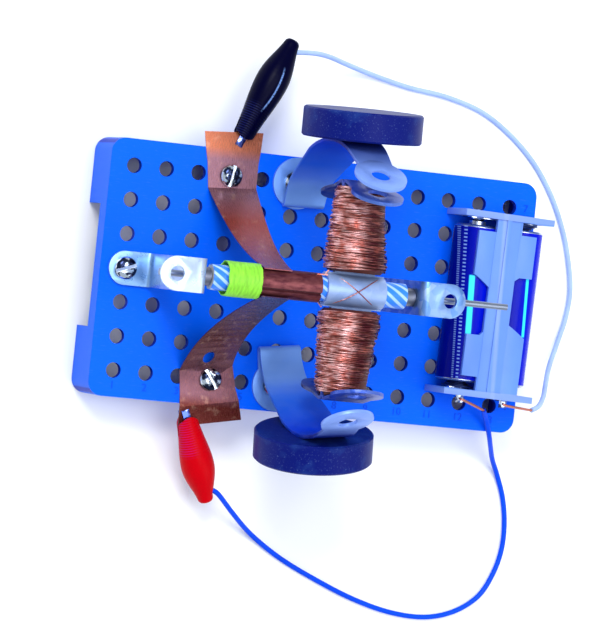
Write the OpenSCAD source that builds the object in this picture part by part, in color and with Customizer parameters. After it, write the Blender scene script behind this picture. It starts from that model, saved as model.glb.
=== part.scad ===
// Demonstration electric motor: a two-pole rotor of bent steel strips and copper coils turns on a
// wire axle between two ferrite magnets, above a perforated plastic board with a two-cell holder.
// Millimetres. The origin is the middle hole of the board, at the board's top face.
// +X runs along the axle towards the cells, +Y points to the rear magnet, +Z is up.

/* [Board] */
// Distance between neighbouring holes of the grid
hole_pitch = 10.5; // [10:0.1:11]
// Diameter of the grid holes
hole_d = 4.8; // [4.4:0.1:5.4]
// Board left of the first column of holes
margin_left = 7.7; // [6.5:0.1:12]
// Board right of the last column of holes
margin_right = 9; // [7:0.1:14]
// Board beyond the first and last rows of holes
margin_side = 8.2; // [7:0.1:10]
// Whole height of the board with its skirt
board_h = 16.5; // [15.5:0.1:20]
// Thickness of the board's top plate
plate_t = 2.5; // [1.8:0.1:3.5]
// Thickness of the board's skirt
skirt_t = 2; // [1.5:0.1:3]
// Outer corner radius of the board
corner_r = 4.5; // [3:0.1:6]
// Length of the hand notch in each end of the skirt
notch_l = 38; // [20:1:50]
// Height of board left above each hand notch
notch_top = 6; // [4:0.5:9]

/* [Screws and nuts] */
// Thread diameter of every screw
screw_d = 3.9; // [3:0.1:4]
// Diameter of the slotted head
head_d = 7; // [6.4:0.1:8]
// Height of the slotted head
head_h = 2.4; // [1.8:0.1:3]
// Width of the screwdriver slot
slot_w = 1.1; // [0.8:0.1:1.4]
// Depth of the screwdriver slot
slot_depth = 1.2; // [0.6:0.1:1.4]
// Nut size across its flats
nut_flats = 7; // [6.5:0.1:8]
// Nut height
nut_h = 3.2; // [2:0.1:4]
// Thread that stands out below a nut
thread_end = 1; // [0.5:0.1:2]

/* [Bearing brackets] */
// Width of the bracket strip
bracket_w = 10.4; // [9:0.1:12]
// Sheet thickness of the brackets
bracket_t = 1.2; // [0.8:0.1:1.6]
// Distance from the foot hole to the outer face of the upright
bracket_reach = 9.5; // [8.5:0.1:12]
// Height of bracket above the axle
bracket_above = 6.5; // [5:0.1:9]
// Hole in the foot and in the top flange
bracket_hole_d = 4.5; // [4.2:0.1:5]
// Middle radius of the bracket's bends
bracket_bend_r = 1.8; // [1:0.1:2.5]
// Lean of the right bracket back over its foot, in degrees
right_lean = 5.5; // [0:0.5:7]

/* [Axle and sleeve] */
// Height of the axle above the board
axle_z = 43; // [42:0.5:47]
// Diameter of the axle
axle_d = 2; // [1.5:0.1:2.4]
// Length of axle past the left bracket's upright
axle_left = 13; // [8:0.5:15]
// Length of axle past the right bracket's upright
axle_right = 31.5; // [15:0.5:40]
// Diameter of the bush neck in the upright
bush_d = 4.2; // [3.6:0.1:5]
// Diameter of the bush collar
collar_d = 5.6; // [5:0.1:7]
// Length of the bush collar
collar_l = 2.6; // [1.5:0.1:3.5]
// Length of the bush neck past the far side of the upright
neck_end = 0.6; // [0.2:0.1:1.5]
// End play of the sleeve between the two collars, each side
end_play = 0.4; // [0.2:0.1:1]
// Outer diameter of the straw sleeve
straw_d = 7.8; // [7:0.1:9]
// Wall of the straw sleeve
straw_wall = 0.3; // [0.2:0.05:0.5]
// Length of each end plug that holds the axle in the sleeve
plug_l = 9; // [5:0.5:15]

/* [Commutator] */
// Length of the two foil halves
commutator_l = 20.5; // [16:0.5:24]
// Foil start, measured from the left end of the sleeve
commutator_start = 14.2; // [12:0.1:18]
// Outer diameter over the foil
commutator_d = 9; // [8.6:0.1:10]
// Gap between the two foil halves
slit_w = 1; // [0.6:0.1:2]
// Turn of the two slits about the axle from the vertical, in degrees
slit_turn = 25; // [0:5:40]
// Thickness of the tape wrap
tape_t = 0.9; // [0.4:0.1:1.2]
// Length of the tape wrap left of the foil
tape_l = 10; // [6:0.5:12]
// Length of tape that holds the end of the foil
tape_lap = 1.2; // [0.5:0.1:3]

/* [Rotor core and coils] */
// Thickness of the steel strips of the rotor and of the magnet straps
strip_t = 1; // [0.8:0.05:1.2]
// Width of the steel strips
strip_w = 13; // [11:0.1:14]
// Diameter of the round lug at each end of a strip
lug_d = 16; // [15:0.1:18]
// Hole in each lug
lug_hole_d = 6; // [5.6:0.1:7]
// Rotor centre right of the strap screws
rotor_offset = 5.9; // [5:0.1:7]
// Width of the saddle that clamps the sleeve
saddle_w = 18.9; // [16:0.1:20]
// Radius of the bends between saddle and arms
saddle_bend_r = 1; // [0.7:0.1:1.5]
// Reach of the rotor arms from the axle to the lug bend
arm_reach = 33.4; // [30:0.1:34]
// Middle radius of the lug bends
lug_bend_r = 1.2; // [0.8:0.1:2]
// Height of a lug's centre above its arm, along the lug
lug_rise = 12; // [10:0.1:13]
// Inward lean of the rear upper lug, in degrees
lean_rear = 19; // [5:1:22]
// Inward lean of the front upper lug, in degrees
lean_front = 11; // [5:1:22]
// Inward lean of the lower lugs, in degrees
lean_lower = 15; // [5:1:22]
// Coil diameter next to the saddle
coil_d_inner = 20.6; // [18:0.1:22]
// Coil diameter next to the lugs
coil_d_outer = 16.6; // [15.4:0.1:18]
// Diameter of the winding wire
winding_wire_d = 0.5; // [0.4:0.05:0.8]

/* [Magnets and straps] */
// Diameter of a magnet
magnet_d = 36.5; // [30:0.5:40]
// Thickness of a magnet
magnet_t = 9; // [6:0.5:12]
// Edge chamfer of a magnet
magnet_chamfer = 0.5; // [0.2:0.1:1]
// Length of the rear strap from lug centre to lug centre
rear_strap_l = 79.8; // [76:0.1:84]
// Length of the front strap from lug centre to lug centre
front_strap_l = 80.7; // [76:0.1:84]
// Sideways shift of the straps' lower lugs on their screws
strap_shift = 0.95; // [0:0.05:0.95]
// Turn of the rear strap on its screw, in degrees
rear_strap_turn = 2; // [0:0.5:8]
// Turn of the front strap on its screw, in degrees
front_strap_turn = 7.4; // [0:0.2:10]
// Sideways step from the lower lug of the rear strap to its strip
rear_skew = 1.9; // [0:0.1:2.5]
// Sideways step from the lower lug of the front strap to its strip
front_skew = 0.6; // [0:0.1:2.5]
// Width of a strap at its widest place
strap_w = 17; // [15:0.1:18]
// Height of a strap's widest place over the board
strap_w_z = 25.5; // [20:0.5:32]
// Width of a strap's strip at its free lug
strap_end_w = 10; // [8:0.1:12]
// Middle radius of the sharp bend at the foot of a strap
strap_bend_r = 1.2; // [0.8:0.1:2]
// Radius of the small bend above the foot
strap_knee_r = 15; // [8:1:20]
// Radius of the large curve of the rear strap
rear_curve_r = 29.5; // [26:0.5:34]
// Radius of the large curve of the front strap
front_curve_r = 29.4; // [26:0.2:34]
// Foot length of the rear strap from lug centre to bend
rear_foot_l = 6.9; // [6:0.1:8]
// Foot length of the front strap from lug centre to bend
front_foot_l = 11.9; // [10:0.1:13]
// Straight stretch of the rear strap below its large curve
rear_straight = 17.2; // [14:0.2:20]
// Straight stretch of the front strap below its large curve
front_straight = 17.7; // [14:0.1:20]
// Inward lean of the rear magnet, in degrees
rear_magnet_lean = 4; // [0:1:8]
// Outward lean of the front magnet, in degrees
front_magnet_lean = 12; // [5:1:18]
// Sideways shift of the rear magnet on its strap
rear_magnet_shift = 2.2; // [0:0.1:4]
// Distance from the front magnet's middle down to where it touches its strap
front_magnet_drop = 3.4; // [0:0.2:6]

/* [Brushes] */
// Thickness of the copper brush sheet
foil_t = 0.3; // [0.2:0.05:0.4]
// Width of the rear brush at its fold
rear_foot_w = 15.8; // [14:0.1:18]
// Width of the front brush at its fold
front_foot_w = 17.4; // [14:0.1:18]
// Growth of a brush's width from its fold to the end of its tab
tab_flare = 3.4; // [2:0.1:4]
// Width of a brush at its tip
tip_w = 9; // [6:0.1:10]
// Length of foot inside the screw, rear brush
rear_foot_in = 3.8; // [3.6:0.1:5]
// Length of foot inside the screw, front brush
front_foot_in = 3.6; // [3.6:0.1:5]
// Length of the outer tab past the edge of the board
tab_l = 6; // [5:0.1:8]
// Downward tilt of the front tab, in degrees
front_tab_tilt = 8; // [4:1:14]
// Turn of the rear brush's foot towards the left, in degrees
rear_foot_turn = 4; // [0:1:6]
// Turn of the front brush's foot towards the right, in degrees
front_foot_turn = 10.5; // [6:0.5:12]
// Gap between brush and commutator
brush_gap = 0.3; // [0.2:0.05:0.4]
// Elevation of a brush arm where it leaves its foot, in degrees
arm_start_angle = 50; // [45:1:55]
// Elevation of a brush arm at the commutator, in degrees
arm_end_angle = 76; // [70:1:82]
// Height of the front brush's outer crease over the board
front_crease_lift = 0.6; // [0.4:0.1:1.2]
// Length of brush past the point nearest the commutator
tip_over = 2.5; // [1:0.5:4]
// Diameter of the spare hole in the front brush
spare_hole_d = 3.6; // [2.5:0.1:4]

/* [Cell holder] */
// Diameter of a cell over its wrapper
cell_d = 14.3; // [13.5:0.1:14.5]
// Length of a cell's body
cell_l = 49.2; // [48:0.1:50]
// Diameter of a cell's button
button_d = 5.4; // [4.5:0.1:6]
// Height of a cell's button
button_h = 1.2; // [0.8:0.1:1.5]
// Thickness of a cell's wrapper
wrapper_t = 0.15; // [0.1:0.05:0.3]
// Height of the cells above the board
cell_lift = 0.2; // [0.1:0.1:1]
// Distance between the two cells
cell_gap = 0.6; // [0.4:0.1:1.5]
// Room for the contacts and the spring between the end walls, past a cell's body
cell_room = 4.8; // [4.6:0.1:6]
// Width of the end walls
holder_w = 30.2; // [29.8:0.1:32]
// Thickness of the end walls
end_wall_t = 2; // [1.5:0.1:2.2]
// Thickness of the back over the cells
back_t = 1.2; // [0.8:0.1:1.6]
// Cover of the back past the top of each cell, in degrees
back_cover = 16; // [8:1:30]
// Gap between the holder and the right edge of the board
holder_edge_gap = 0.7; // [0.2:0.1:3]
// Turn of the holder on the board, in degrees
holder_turn = 1.5; // [0:0.5:2]
// Sheet thickness of the contacts
contact_t = 0.4; // [0.3:0.05:0.6]
// Diameter of the contact rivet heads
rivet_d = 4.4; // [3:0.1:5]
// Wire diameter of the contact springs
spring_wire_d = 0.6; // [0.4:0.05:0.8]

/* [Leads and clips] */
// Diameter of the two insulated leads
lead_d = 1.6; // [1.2:0.1:1.8]
// Width of a clip's lower jaw
jaw_w = 3.4; // [3.2:0.1:3.6]
// Depth of each jaw below or above the gripping plane
jaw_depth = 2; // [1.9:0.1:2.1]
// Sheet thickness of the jaws
jaw_t = 0.4; // [0.3:0.05:0.45]
// Distance from the tip of a clip to its pivot
pivot_y = 15; // [13:0.5:16]
// Diameter of the pivot pin
pivot_d = 1.2; // [1:0.1:1.4]
// Radius of a boot at its mouth
boot_mouth_r = 3.25; // [3.2:0.05:3.5]
// Largest radius of a boot
boot_belly_r = 5.2; // [4.8:0.1:5.6]
// Radius of a boot at its closed tail
boot_tail_r = 2.5; // [2.3:0.1:2.9]
// Wall of the boots
boot_wall = 0.5; // [0.4:0.05:0.55]
// Distance from the tip to the tail of the black clip
black_clip_l = 37.5; // [36:0.5:40]
// Distance from the tip to the tail of the red clip
red_clip_l = 30.6; // [30:0.2:33]

/* [Hidden] */
$fn = 64;

// Clearances: close pieces of one body, running fits, press fits and cuts through a wall
snug = 0.03;
running = 0.05;
press = 0.05;
through = 1;
// Thickness that a round plate has more than the strip that it ends
proud = 0.02;
// Steps of one bend of a strip
bend_steps = 12;

// The grid has 13 columns and 7 rows, so that its middle hole is the origin
last_column = 6;
last_row = 3;
grid_x = last_column * hole_pitch;
grid_y = last_row * hole_pitch;
board_left = -grid_x - margin_left;
board_right = grid_x + margin_right;
board_side = grid_y + margin_side;

// Columns of the grid that carry the screws
left_bearing_x = -6 * hole_pitch;
right_bearing_x = 2 * hole_pitch;
brush_x = -3 * hole_pitch;
strap_x = -hole_pitch;
screw_row_y = 3 * hole_pitch;

// Slot directions of the screws in pairs: bearing left and right, strap and brush rear and front
bearing_slots = [20, 70];
strap_slots = [35, 120];
brush_slots = [80, -55];

bracket_h = axle_z + bracket_above;
bracket_straight = bracket_reach - bracket_t / 2 - bracket_bend_r;

// Sideways distance from the foot hole to the middle of a leaning upright at axle height
function upright_x(lean) = bracket_straight + bracket_bend_r * cos(lean)
    - (axle_z - bracket_t / 2 - bracket_bend_r * (1 + sin(lean))) * tan(lean);
// Distance from the foot hole to the bearing face of the upright at axle height
function bearing_face(lean) = upright_x(lean) + bracket_t / 2 / cos(lean) + collar_d / 2 * tan(lean);

left_face = left_bearing_x + bearing_face(0);
right_face = right_bearing_x - bearing_face(right_lean);
straw_left = left_face + collar_l + end_play;
straw_right = right_face - collar_l - end_play;
axle_x0 = left_face - axle_left;
axle_x1 = right_face + axle_right;
straw_r = straw_d / 2;
commutator_x = straw_left + commutator_start;
commutator_r = commutator_d / 2;
rotor_x = strap_x + rotor_offset;
tip_x = commutator_x + tape_lap + 0.3 + tip_w / 2;

// Rotor strips: middle radius of the saddle, and the turn at which it runs out into the arms
saddle_r = straw_r + snug + strip_t / 2;
arm_z = strip_t / 2 + snug / 2;
saddle_turn = acos((saddle_bend_r + arm_z) / (saddle_r + saddle_bend_r));
saddle_end = (saddle_r + saddle_bend_r) * sin(saddle_turn);
coil_start = saddle_end + 0.4;

// Straps and brushes: [rear, front]
foot_l = [rear_foot_l, front_foot_l];
curve_r = [rear_curve_r, front_curve_r];
straight = [rear_straight, front_straight];
strap_l = [rear_strap_l, front_strap_l];
strap_turn = [rear_strap_turn, -front_strap_turn];
strap_skew = [rear_skew, front_skew];
foot_strip_w = strip_w;
strap_lift = [17.5, 6];
strap_climb = [63.2, 61];
strap_end = [122, 116];
magnet_lean = [-rear_magnet_lean, front_magnet_lean];
magnet_shift = [rear_magnet_shift, 0];
magnet_drop = [0, front_magnet_drop];
foot_in = [rear_foot_in, front_foot_in];
foot_turn = [-rear_foot_turn, front_foot_turn];
tab_tilt = [0, -front_tab_tilt];
foot_out = margin_side - 0.6;
foot_w = [rear_foot_w, front_foot_w];
foot_shift = [0.6, -1];
// Height of the crease of the outer tab over the board, and the run from the screw that stays flat
crease_lift = [0, front_crease_lift];
flat_run = head_d / 2 + 0.3;

// Cells and their holder
cell_r = cell_d / 2;
cell_z = cell_r + cell_lift;
cell_x = (cell_d + cell_gap) / 2;
back_r = cell_r + 0.15;
holder_top = cell_z + back_r + back_t;
inner_l = cell_l + cell_room;
holder_l = inner_l + 2 * end_wall_t;
holder_x = board_right - holder_edge_gap - holder_w / 2;
rivet_head_h = 0.9;
cell_shift = inner_l / 2 - contact_t - rivet_head_h - button_h - cell_l / 2;
tag_l = 2.4;
tag_w = 2.6;
// Contact plate: half width, depth below and height above the middle of a cell
contact_half = 0.56 * cell_r;
contact_low = 0.42 * cell_r;
contact_high = 0.5 * cell_r;
tag_z = cell_z + contact_high - contact_t / 2;

// Clips: [black on the rear brush, red on the front brush]
clip_turn = [27.3, 12.2];
grip_x = [1.9, -9.1];
grip_y = [1.8, 1];
// Front of the lips, and how far the mouth draws back beside them
boot_start = [2.6, 2];
lip_depth = [1.6, 2.1];
// Place of the lead's side hole before the tail, and the lead's slant to the clip in degrees
hole_back = [2.4, 3];
hole_slant = [90, 45];
hole_turn = [8, 20];
clip_l = [black_clip_l, red_clip_l];
side = [1, -1];
barrel_y0 = 20.5;
barrel_y1 = 23.5;
barrel_r = 1.25;
barrel_z = -jaw_depth + barrel_r;
lead_r = lead_d / 2;

// ---- Paths of bent strips ----

// Points [x, z, heading] of a bend of n steps after point p
function bend(p, r, turn) = [for (i = [1 : bend_steps])
    let (a = turn * i / bend_steps, s = sign(turn) * r)
    [p[0] + s * (sin(p[2] + a) - sin(p[2])), p[1] - s * (cos(p[2] + a) - cos(p[2])), p[2] + a]];

// Path from point p through pieces [straight length, turn, radius of the turn]
function strip_path(pieces, p, i = 0) = i >= len(pieces) ? [p] :
    let (q = [p[0] + pieces[i][0] * cos(p[2]), p[1] + pieces[i][0] * sin(p[2]), p[2]],
         arc = pieces[i][1] == 0 ? [q] : bend(q, pieces[i][2], pieces[i][1]),
         n = len(arc))
    concat([p], pieces[i][0] == 0 || n == 1 ? [] : [q], [for (k = [0 : 1 : n - 2]) arc[k]],
           strip_path(pieces, arc[n - 1], i + 1));

// Outline of a strip of thickness t along a path
function strip_outline(path, t) = concat(
    [for (p = path) [p[0] - t / 2 * sin(p[2]), p[1] + t / 2 * cos(p[2])]],
    [for (i = [len(path) - 1 : -1 : 0]) let (p = path[i])
        [p[0] + t / 2 * sin(p[2]), p[1] - t / 2 * cos(p[2])]]);

function last(list) = list[len(list) - 1];

module strip(path, t, w) {
    linear_extrude(height = w, center = true) polygon(strip_outline(path, t));
}

// Round plate or hole across a strip at point p of its path
module strip_disc(p, r, t) {
    translate([p[0], p[1], 0]) rotate([0, 0, p[2]]) rotate([90, 0, 0]) cylinder(r = r, h = t, center = true);
}

// The same path seen from the other side of x = 0, in reverse order
function mirrored(path) = [for (i = [len(path) - 1 : -1 : 0]) let (p = path[i]) [-p[0], p[1], -p[2]]];

// Cylinder along +X from x0 to x1
module rod_x(x0, x1, r) {
    translate([x0, 0, 0]) rotate([0, 90, 0]) cylinder(r = r, h = x1 - x0);
}

// ---- Swept wires ----

function unit(v) = v / norm(v);

// Direction of a path at point i
function tangent(path, i) = unit(path[min(i + 1, len(path) - 1)] - path[max(i - 1, 0)]);

// Smooth path through route points, with n steps between neighbouring points
function spline(p, n) = concat([for (i = [0 : len(p) - 2]) for (k = [0 : n - 1])
    let (t = k / n, a = p[max(i - 1, 0)], b = p[i], c = p[i + 1], d = p[min(i + 2, len(p) - 1)])
    b + (c - a) * t / 2 + (a - 2.5 * b + 2 * c - d / 2) * t * t + ((d - a) / 2 + 1.5 * (b - c)) * t * t * t],
    [last(p)]);

// Closed tube of radius r along a path; up is any direction that the path never takes
module tube(path, r, sides, up) {
    n = len(path);
    points = [for (i = [0 : n - 1])
        let (t = tangent(path, i), u = unit(cross(up, t)), v = cross(t, u))
        for (k = [0 : sides - 1]) path[i] + r * (cos(360 * k / sides) * u + sin(360 * k / sides) * v)];
    walls = [for (i = [0 : n - 2]) for (k = [0 : sides - 1])
        let (a = i * sides + k, b = i * sides + (k + 1) % sides) [a, b, b + sides, a + sides]];
    first_cap = [for (k = [sides - 1 : -1 : 0]) k];
    last_cap = [for (k = [0 : sides - 1]) (n - 1) * sides + k];
    polyhedron(points = points, faces = concat([for (f = walls) [f[3], f[2], f[1], f[0]]],
        [[for (k = [sides - 1 : -1 : 0]) first_cap[k]], [for (k = [sides - 1 : -1 : 0]) last_cap[k]]]),
        convexity = 10);
}

// ---- Board ----

module rounded_block(x0, x1, y, z0, z1, r) {
    translate([0, 0, z0]) linear_extrude(height = z1 - z0) {
        translate([x0 + r, -y]) square([x1 - x0 - 2 * r, 2 * y]);
        translate([x0, -y + r]) square([x1 - x0, 2 * y - 2 * r]);
        for (cx = [x0 + r, x1 - r], cy = [-y + r, y - r]) translate([cx, cy]) circle(r);
    }
}

module base_board() color([0, 0.4, 1]) {
    difference() {
        rounded_block(board_left, board_right, board_side, -board_h, 0, corner_r);
        rounded_block(board_left + skirt_t, board_right - skirt_t, board_side - skirt_t,
            -board_h - through, -plate_t, corner_r - skirt_t);
        for (i = [-last_column : last_column], j = [-last_row : last_row])
            translate([i * hole_pitch, j * hole_pitch, -plate_t - through])
                cylinder(d = hole_d, h = plate_t + 2 * through);
        for (x = [board_left, board_right])
            translate([x - 2 * skirt_t, -notch_l / 2, -board_h - through])
                cube([4 * skirt_t, notch_l, board_h - notch_top + through]);
    }
}

// ---- Fasteners ----

// Slotted screw at x, y through a sheet of thickness t
module screw(x, y, t, turn) color([0.8, 0.82, 0.85]) translate([x, y, t]) {
    difference() {
        rotate_extrude() polygon([[0, 0], [head_d / 2, 0], [head_d / 2, head_h * 0.45],
            [head_d * 0.43, head_h * 0.75], [head_d * 0.28, head_h * 0.95], [0, head_h]]);
        rotate([0, 0, turn]) translate([0, 0, head_h - slot_depth / 2 + through / 2])
            cube([head_d + through, slot_w, slot_depth + through], center = true);
    }
    translate([0, 0, -t - plate_t - nut_h - thread_end])
        cylinder(d = screw_d, h = t + plate_t + nut_h + thread_end);
}

module nut(x, y) color([0.7, 0.72, 0.75]) translate([x, y, -plate_t - nut_h]) difference() {
    cylinder(d = nut_flats / cos(30), h = nut_h, $fn = 6);
    translate([0, 0, -through]) cylinder(d = screw_d + 2 * snug, h = nut_h + 2 * through);
}

module bearing_screws() {
    screw(left_bearing_x, 0, bracket_t + proud, bearing_slots[0]);
    screw(right_bearing_x, 0, bracket_t + proud, bearing_slots[1]);
}

module bearing_nuts() {
    nut(left_bearing_x, 0);
    nut(right_bearing_x, 0);
}

module strap_screws() for (k = [0, 1]) screw(strap_x, side[k] * screw_row_y, strip_t + proud,
    strap_slots[k]);
module strap_nuts() for (k = [0, 1]) nut(strap_x, side[k] * screw_row_y);
module brush_screws() for (k = [0, 1]) screw(brush_x, side[k] * screw_row_y, foil_t, brush_slots[k]);
module brush_nuts() for (k = [0, 1]) nut(brush_x, side[k] * screw_row_y);

// ---- Bearings ----

// C-shaped bracket with its foot hole at the origin and its upright towards +X
module bearing_bracket(lean) color([0.75, 0.82, 0.92]) {
    path = strip_path([
        [bracket_straight, 90 + lean, bracket_bend_r],
        [bracket_h - bracket_t - 2 * bracket_bend_r, 90, bracket_bend_r],
        [bracket_straight, 0, 0]], [0, (bracket_t + proud) / 2, 0]);
    difference() {
        rotate([90, 0, 0]) difference() {
            union() {
                strip(path, bracket_t, bracket_w);
                strip_disc(path[0], bracket_w / 2 + proud, bracket_t + proud);
                strip_disc(last(path), bracket_w / 2 + proud, bracket_t + proud);
            }
            strip_disc(path[0], bracket_hole_d / 2, bracket_t + through);
            strip_disc(last(path), bracket_hole_d / 2, bracket_t + through);
        }
        translate([0, 0, axle_z]) rod_x(upright_x(lean) - 2 * bracket_t, upright_x(lean) + 2 * bracket_t,
            bush_d / 2 + snug);
    }
}

module left_bearing_bracket() translate([left_bearing_x, 0, 0]) bearing_bracket(0);
module right_bearing_bracket() translate([right_bearing_x, 0, 0]) mirror([1, 0, 0])
    bearing_bracket(right_lean);

// Collared bush in an upright, in the bracket's frame
module bush(lean) color([0.45, 0.47, 0.5]) translate([0, 0, axle_z]) difference() {
    union() {
        rod_x(bearing_face(lean), bearing_face(lean) + collar_l, collar_d / 2);
        rod_x(upright_x(lean) - bracket_t / 2 - neck_end, bearing_face(lean) + collar_l / 2, bush_d / 2);
    }
    rod_x(0, bearing_face(lean) + collar_l + through, axle_d / 2 + running);
}

module left_bush() translate([left_bearing_x, 0, 0]) bush(0);
module right_bush() translate([right_bearing_x, 0, 0]) mirror([1, 0, 0]) bush(right_lean);

// ---- Rotor ----

module axle() color([0.6, 0.62, 0.66]) translate([0, 0, axle_z]) rod_x(axle_x0, axle_x1, axle_d / 2);

module straw_sleeve() color([0.85, 0.92, 1]) translate([0, 0, axle_z]) difference() {
    rod_x(straw_left, straw_right, straw_r);
    rod_x(straw_left - through, straw_right + through, straw_r - straw_wall);
}

module sleeve_plugs() color([0.8, 0.8, 0.78]) translate([0, 0, axle_z]) difference() {
    union() {
        rod_x(straw_left, straw_left + plug_l, straw_r - straw_wall);
        rod_x(straw_right - plug_l, straw_right, straw_r - straw_wall);
    }
    rod_x(straw_left - through, straw_right + through, axle_d / 2);
}

// Path of a rotor strip from the top of the saddle to the middle of one lug
saddle_half = strip_path([[0, -saddle_turn, saddle_r], [0, saddle_turn, saddle_bend_r]], [0, saddle_r, 0]);
function core_half(lean) = concat(saddle_half, [for (i = [1 : 1 : 99])
    let (arm = strip_path([
        [arm_reach - strip_t / 2 - lug_bend_r - saddle_end, 90 + lean, lug_bend_r],
        [lug_rise - lug_bend_r, 0, 0]], last(saddle_half)))
    if (i < len(arm)) arm[i]]);

// Whole rotor strip above the axle
module core_strip(rear, front) color([0.55, 0.68, 0.9]) rotate([90, 0, 90]) {
    half = core_half(rear);
    path = concat(mirrored(core_half(front)), [for (i = [1 : len(half) - 1]) half[i]]);
    saddle = concat(mirrored(saddle_half), [for (i = [1 : len(saddle_half) - 1]) saddle_half[i]]);
    difference() {
        union() {
            strip(path, strip_t, strip_w);
            strip(saddle, strip_t + proud, saddle_w);
            for (p = [path[0], last(path)]) strip_disc(p, lug_d / 2, strip_t + proud);
        }
        for (p = [path[0], last(path)]) strip_disc(p, lug_hole_d / 2, strip_t + through);
    }
}

module core_upper() translate([rotor_x, 0, axle_z]) core_strip(lean_rear, lean_front);
module core_lower() translate([rotor_x, 0, axle_z]) mirror([0, 0, 1]) core_strip(lean_lower, lean_lower);

// Space outside the lug that stands up from the arms' end, leaning inwards
module beyond_lug(lean) {
    size = 2 * coil_d_inner;
    translate([-size / 2, arm_reach - strip_t - 2 * snug, 0]) rotate([lean, 0, 0])
        translate([0, 0, -lug_bend_r * tan(lean)]) cube([size, size, size]);
}

// Coil around the arms on the +Y side
module coil(lean_up) color([0.72, 0.42, 0.34]) difference() {
    rotate([-90, 0, 0]) rotate_extrude() polygon([[0, coil_start], [coil_d_inner / 2 - 1, coil_start],
        [coil_d_inner / 2, coil_start + 1], [coil_d_outer / 2, arm_reach - 2], [coil_d_outer / 2 - 1, arm_reach],
        [0, arm_reach]]);
    cube([strip_w + 2 * snug, 3 * arm_reach, 2 * strip_t + 3 * snug], center = true);
    beyond_lug(lean_up);
    mirror([0, 0, 1]) beyond_lug(lean_lower);
    translate([-coil_d_inner, arm_reach - strip_t - 2 * lug_bend_r, -2 * lug_bend_r])
        cube([2 * coil_d_inner, coil_d_inner, 4 * lug_bend_r]);
}

module rear_coil() translate([rotor_x, 0, axle_z]) coil(lean_rear);
module front_coil() translate([rotor_x, 0, axle_z]) mirror([0, 1, 0]) coil(lean_front);

// Half shell of commutator foil on the +Y side
module commutator_half() color([0.6, 0.35, 0.35]) difference() {
    rod_x(commutator_x, commutator_x + commutator_l, commutator_r);
    rod_x(commutator_x - through, commutator_x + commutator_l + through, straw_r + snug);
    translate([commutator_x - through, -commutator_d + slit_w / 2, -commutator_d])
        cube([commutator_l + 2 * through, commutator_d, 2 * commutator_d]);
}

module commutator_rear() translate([0, 0, axle_z]) rotate([slit_turn, 0, 0]) commutator_half();
module commutator_front() translate([0, 0, axle_z]) rotate([slit_turn + 180, 0, 0]) commutator_half();

module insulating_tape() color([0.6, 0.92, 0.35]) translate([0, 0, axle_z]) difference() {
    rod_x(commutator_x - tape_l, commutator_x + tape_lap, commutator_r + tape_t);
    rod_x(commutator_x - tape_l - through, commutator_x + tape_lap + through, straw_r + snug);
    rod_x(commutator_x, commutator_x + tape_lap + through, commutator_r + snug);
}

// Lead from a coil's inner end to a commutator half, on the +Y side
module coil_lead() {
    x0 = commutator_x + commutator_l - 1.5;
    x1 = rotor_x - coil_d_inner / 2 + 1.5;
    r = winding_wire_d / 2;
    rise = commutator_r + r;
    tube(spline([[x0, rise * sin(60), rise * cos(60)], [x0 + 3, rise * sin(55) + 0.3, rise * cos(55) + 0.4],
        [x1 - 1, coil_start - 1.2, 1.8], [x1, coil_start, 1.5]], 4), r, 6, [0, 0, 1]);
}

module coil_leads() color([0.8, 0.5, 0.4]) translate([0, 0, axle_z]) {
    coil_lead();
    rotate([180, 0, 0]) coil_lead();
}

// Wire that runs slantwise over the saddle from one coil to the other, lift above the strip
module crossover_wire(slant, lift) {
    r = saddle_r + strip_t / 2 + winding_wire_d / 2;
    spread = saddle_w * 0.46;
    arc = [for (i = [-6 : 6]) let (a = 9 * i) [slant * spread * i / 8, r * sin(a), r * cos(a) + lift * cos(a)]];
    ends = [for (s = [-1, 1]) [slant * s * spread, s * coil_start, r * cos(54) - 1]];
    tube(concat([ends[0]], arc, [ends[1]]), winding_wire_d / 2, 6, [1, 0, 0.01]);
}

module crossover_wires() color([0.82, 0.5, 0.4]) translate([rotor_x, 0, axle_z]) {
    crossover_wire(-1, 0.02);
    crossover_wire(1, winding_wire_d + 0.06);
}

// ---- Magnets and their straps ----

// Path of a strap from its foot lug, outwards along x and up along z
function strap_path(k) = let (
    base = [
        [foot_l[k] - strap_bend_r, strap_lift[k] - 180, strap_bend_r],
        [0, strap_climb[k] - strap_lift[k], strap_knee_r],
        [straight[k], strap_end[k] - strap_climb[k], curve_r[k]]],
    used = foot_l[k] - strap_bend_r + straight[k] + PI / 180 * ((180 - strap_lift[k]) * strap_bend_r
        + (strap_climb[k] - strap_lift[k]) * strap_knee_r + (strap_end[k] - strap_climb[k]) * curve_r[k]))
    strip_path(concat(base, [[strap_l[k] - used, 0, 0]]), [0, (strip_t + proud) / 2, 180]);

// Start of the large curve of a strap
function curve_start(k) = last(strip_path([
    [foot_l[k] - strap_bend_r, strap_lift[k] - 180, strap_bend_r],
    [0, strap_climb[k] - strap_lift[k], strap_knee_r],
    [straight[k], 0, 0]], [0, (strip_t + proud) / 2, 180]));

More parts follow.
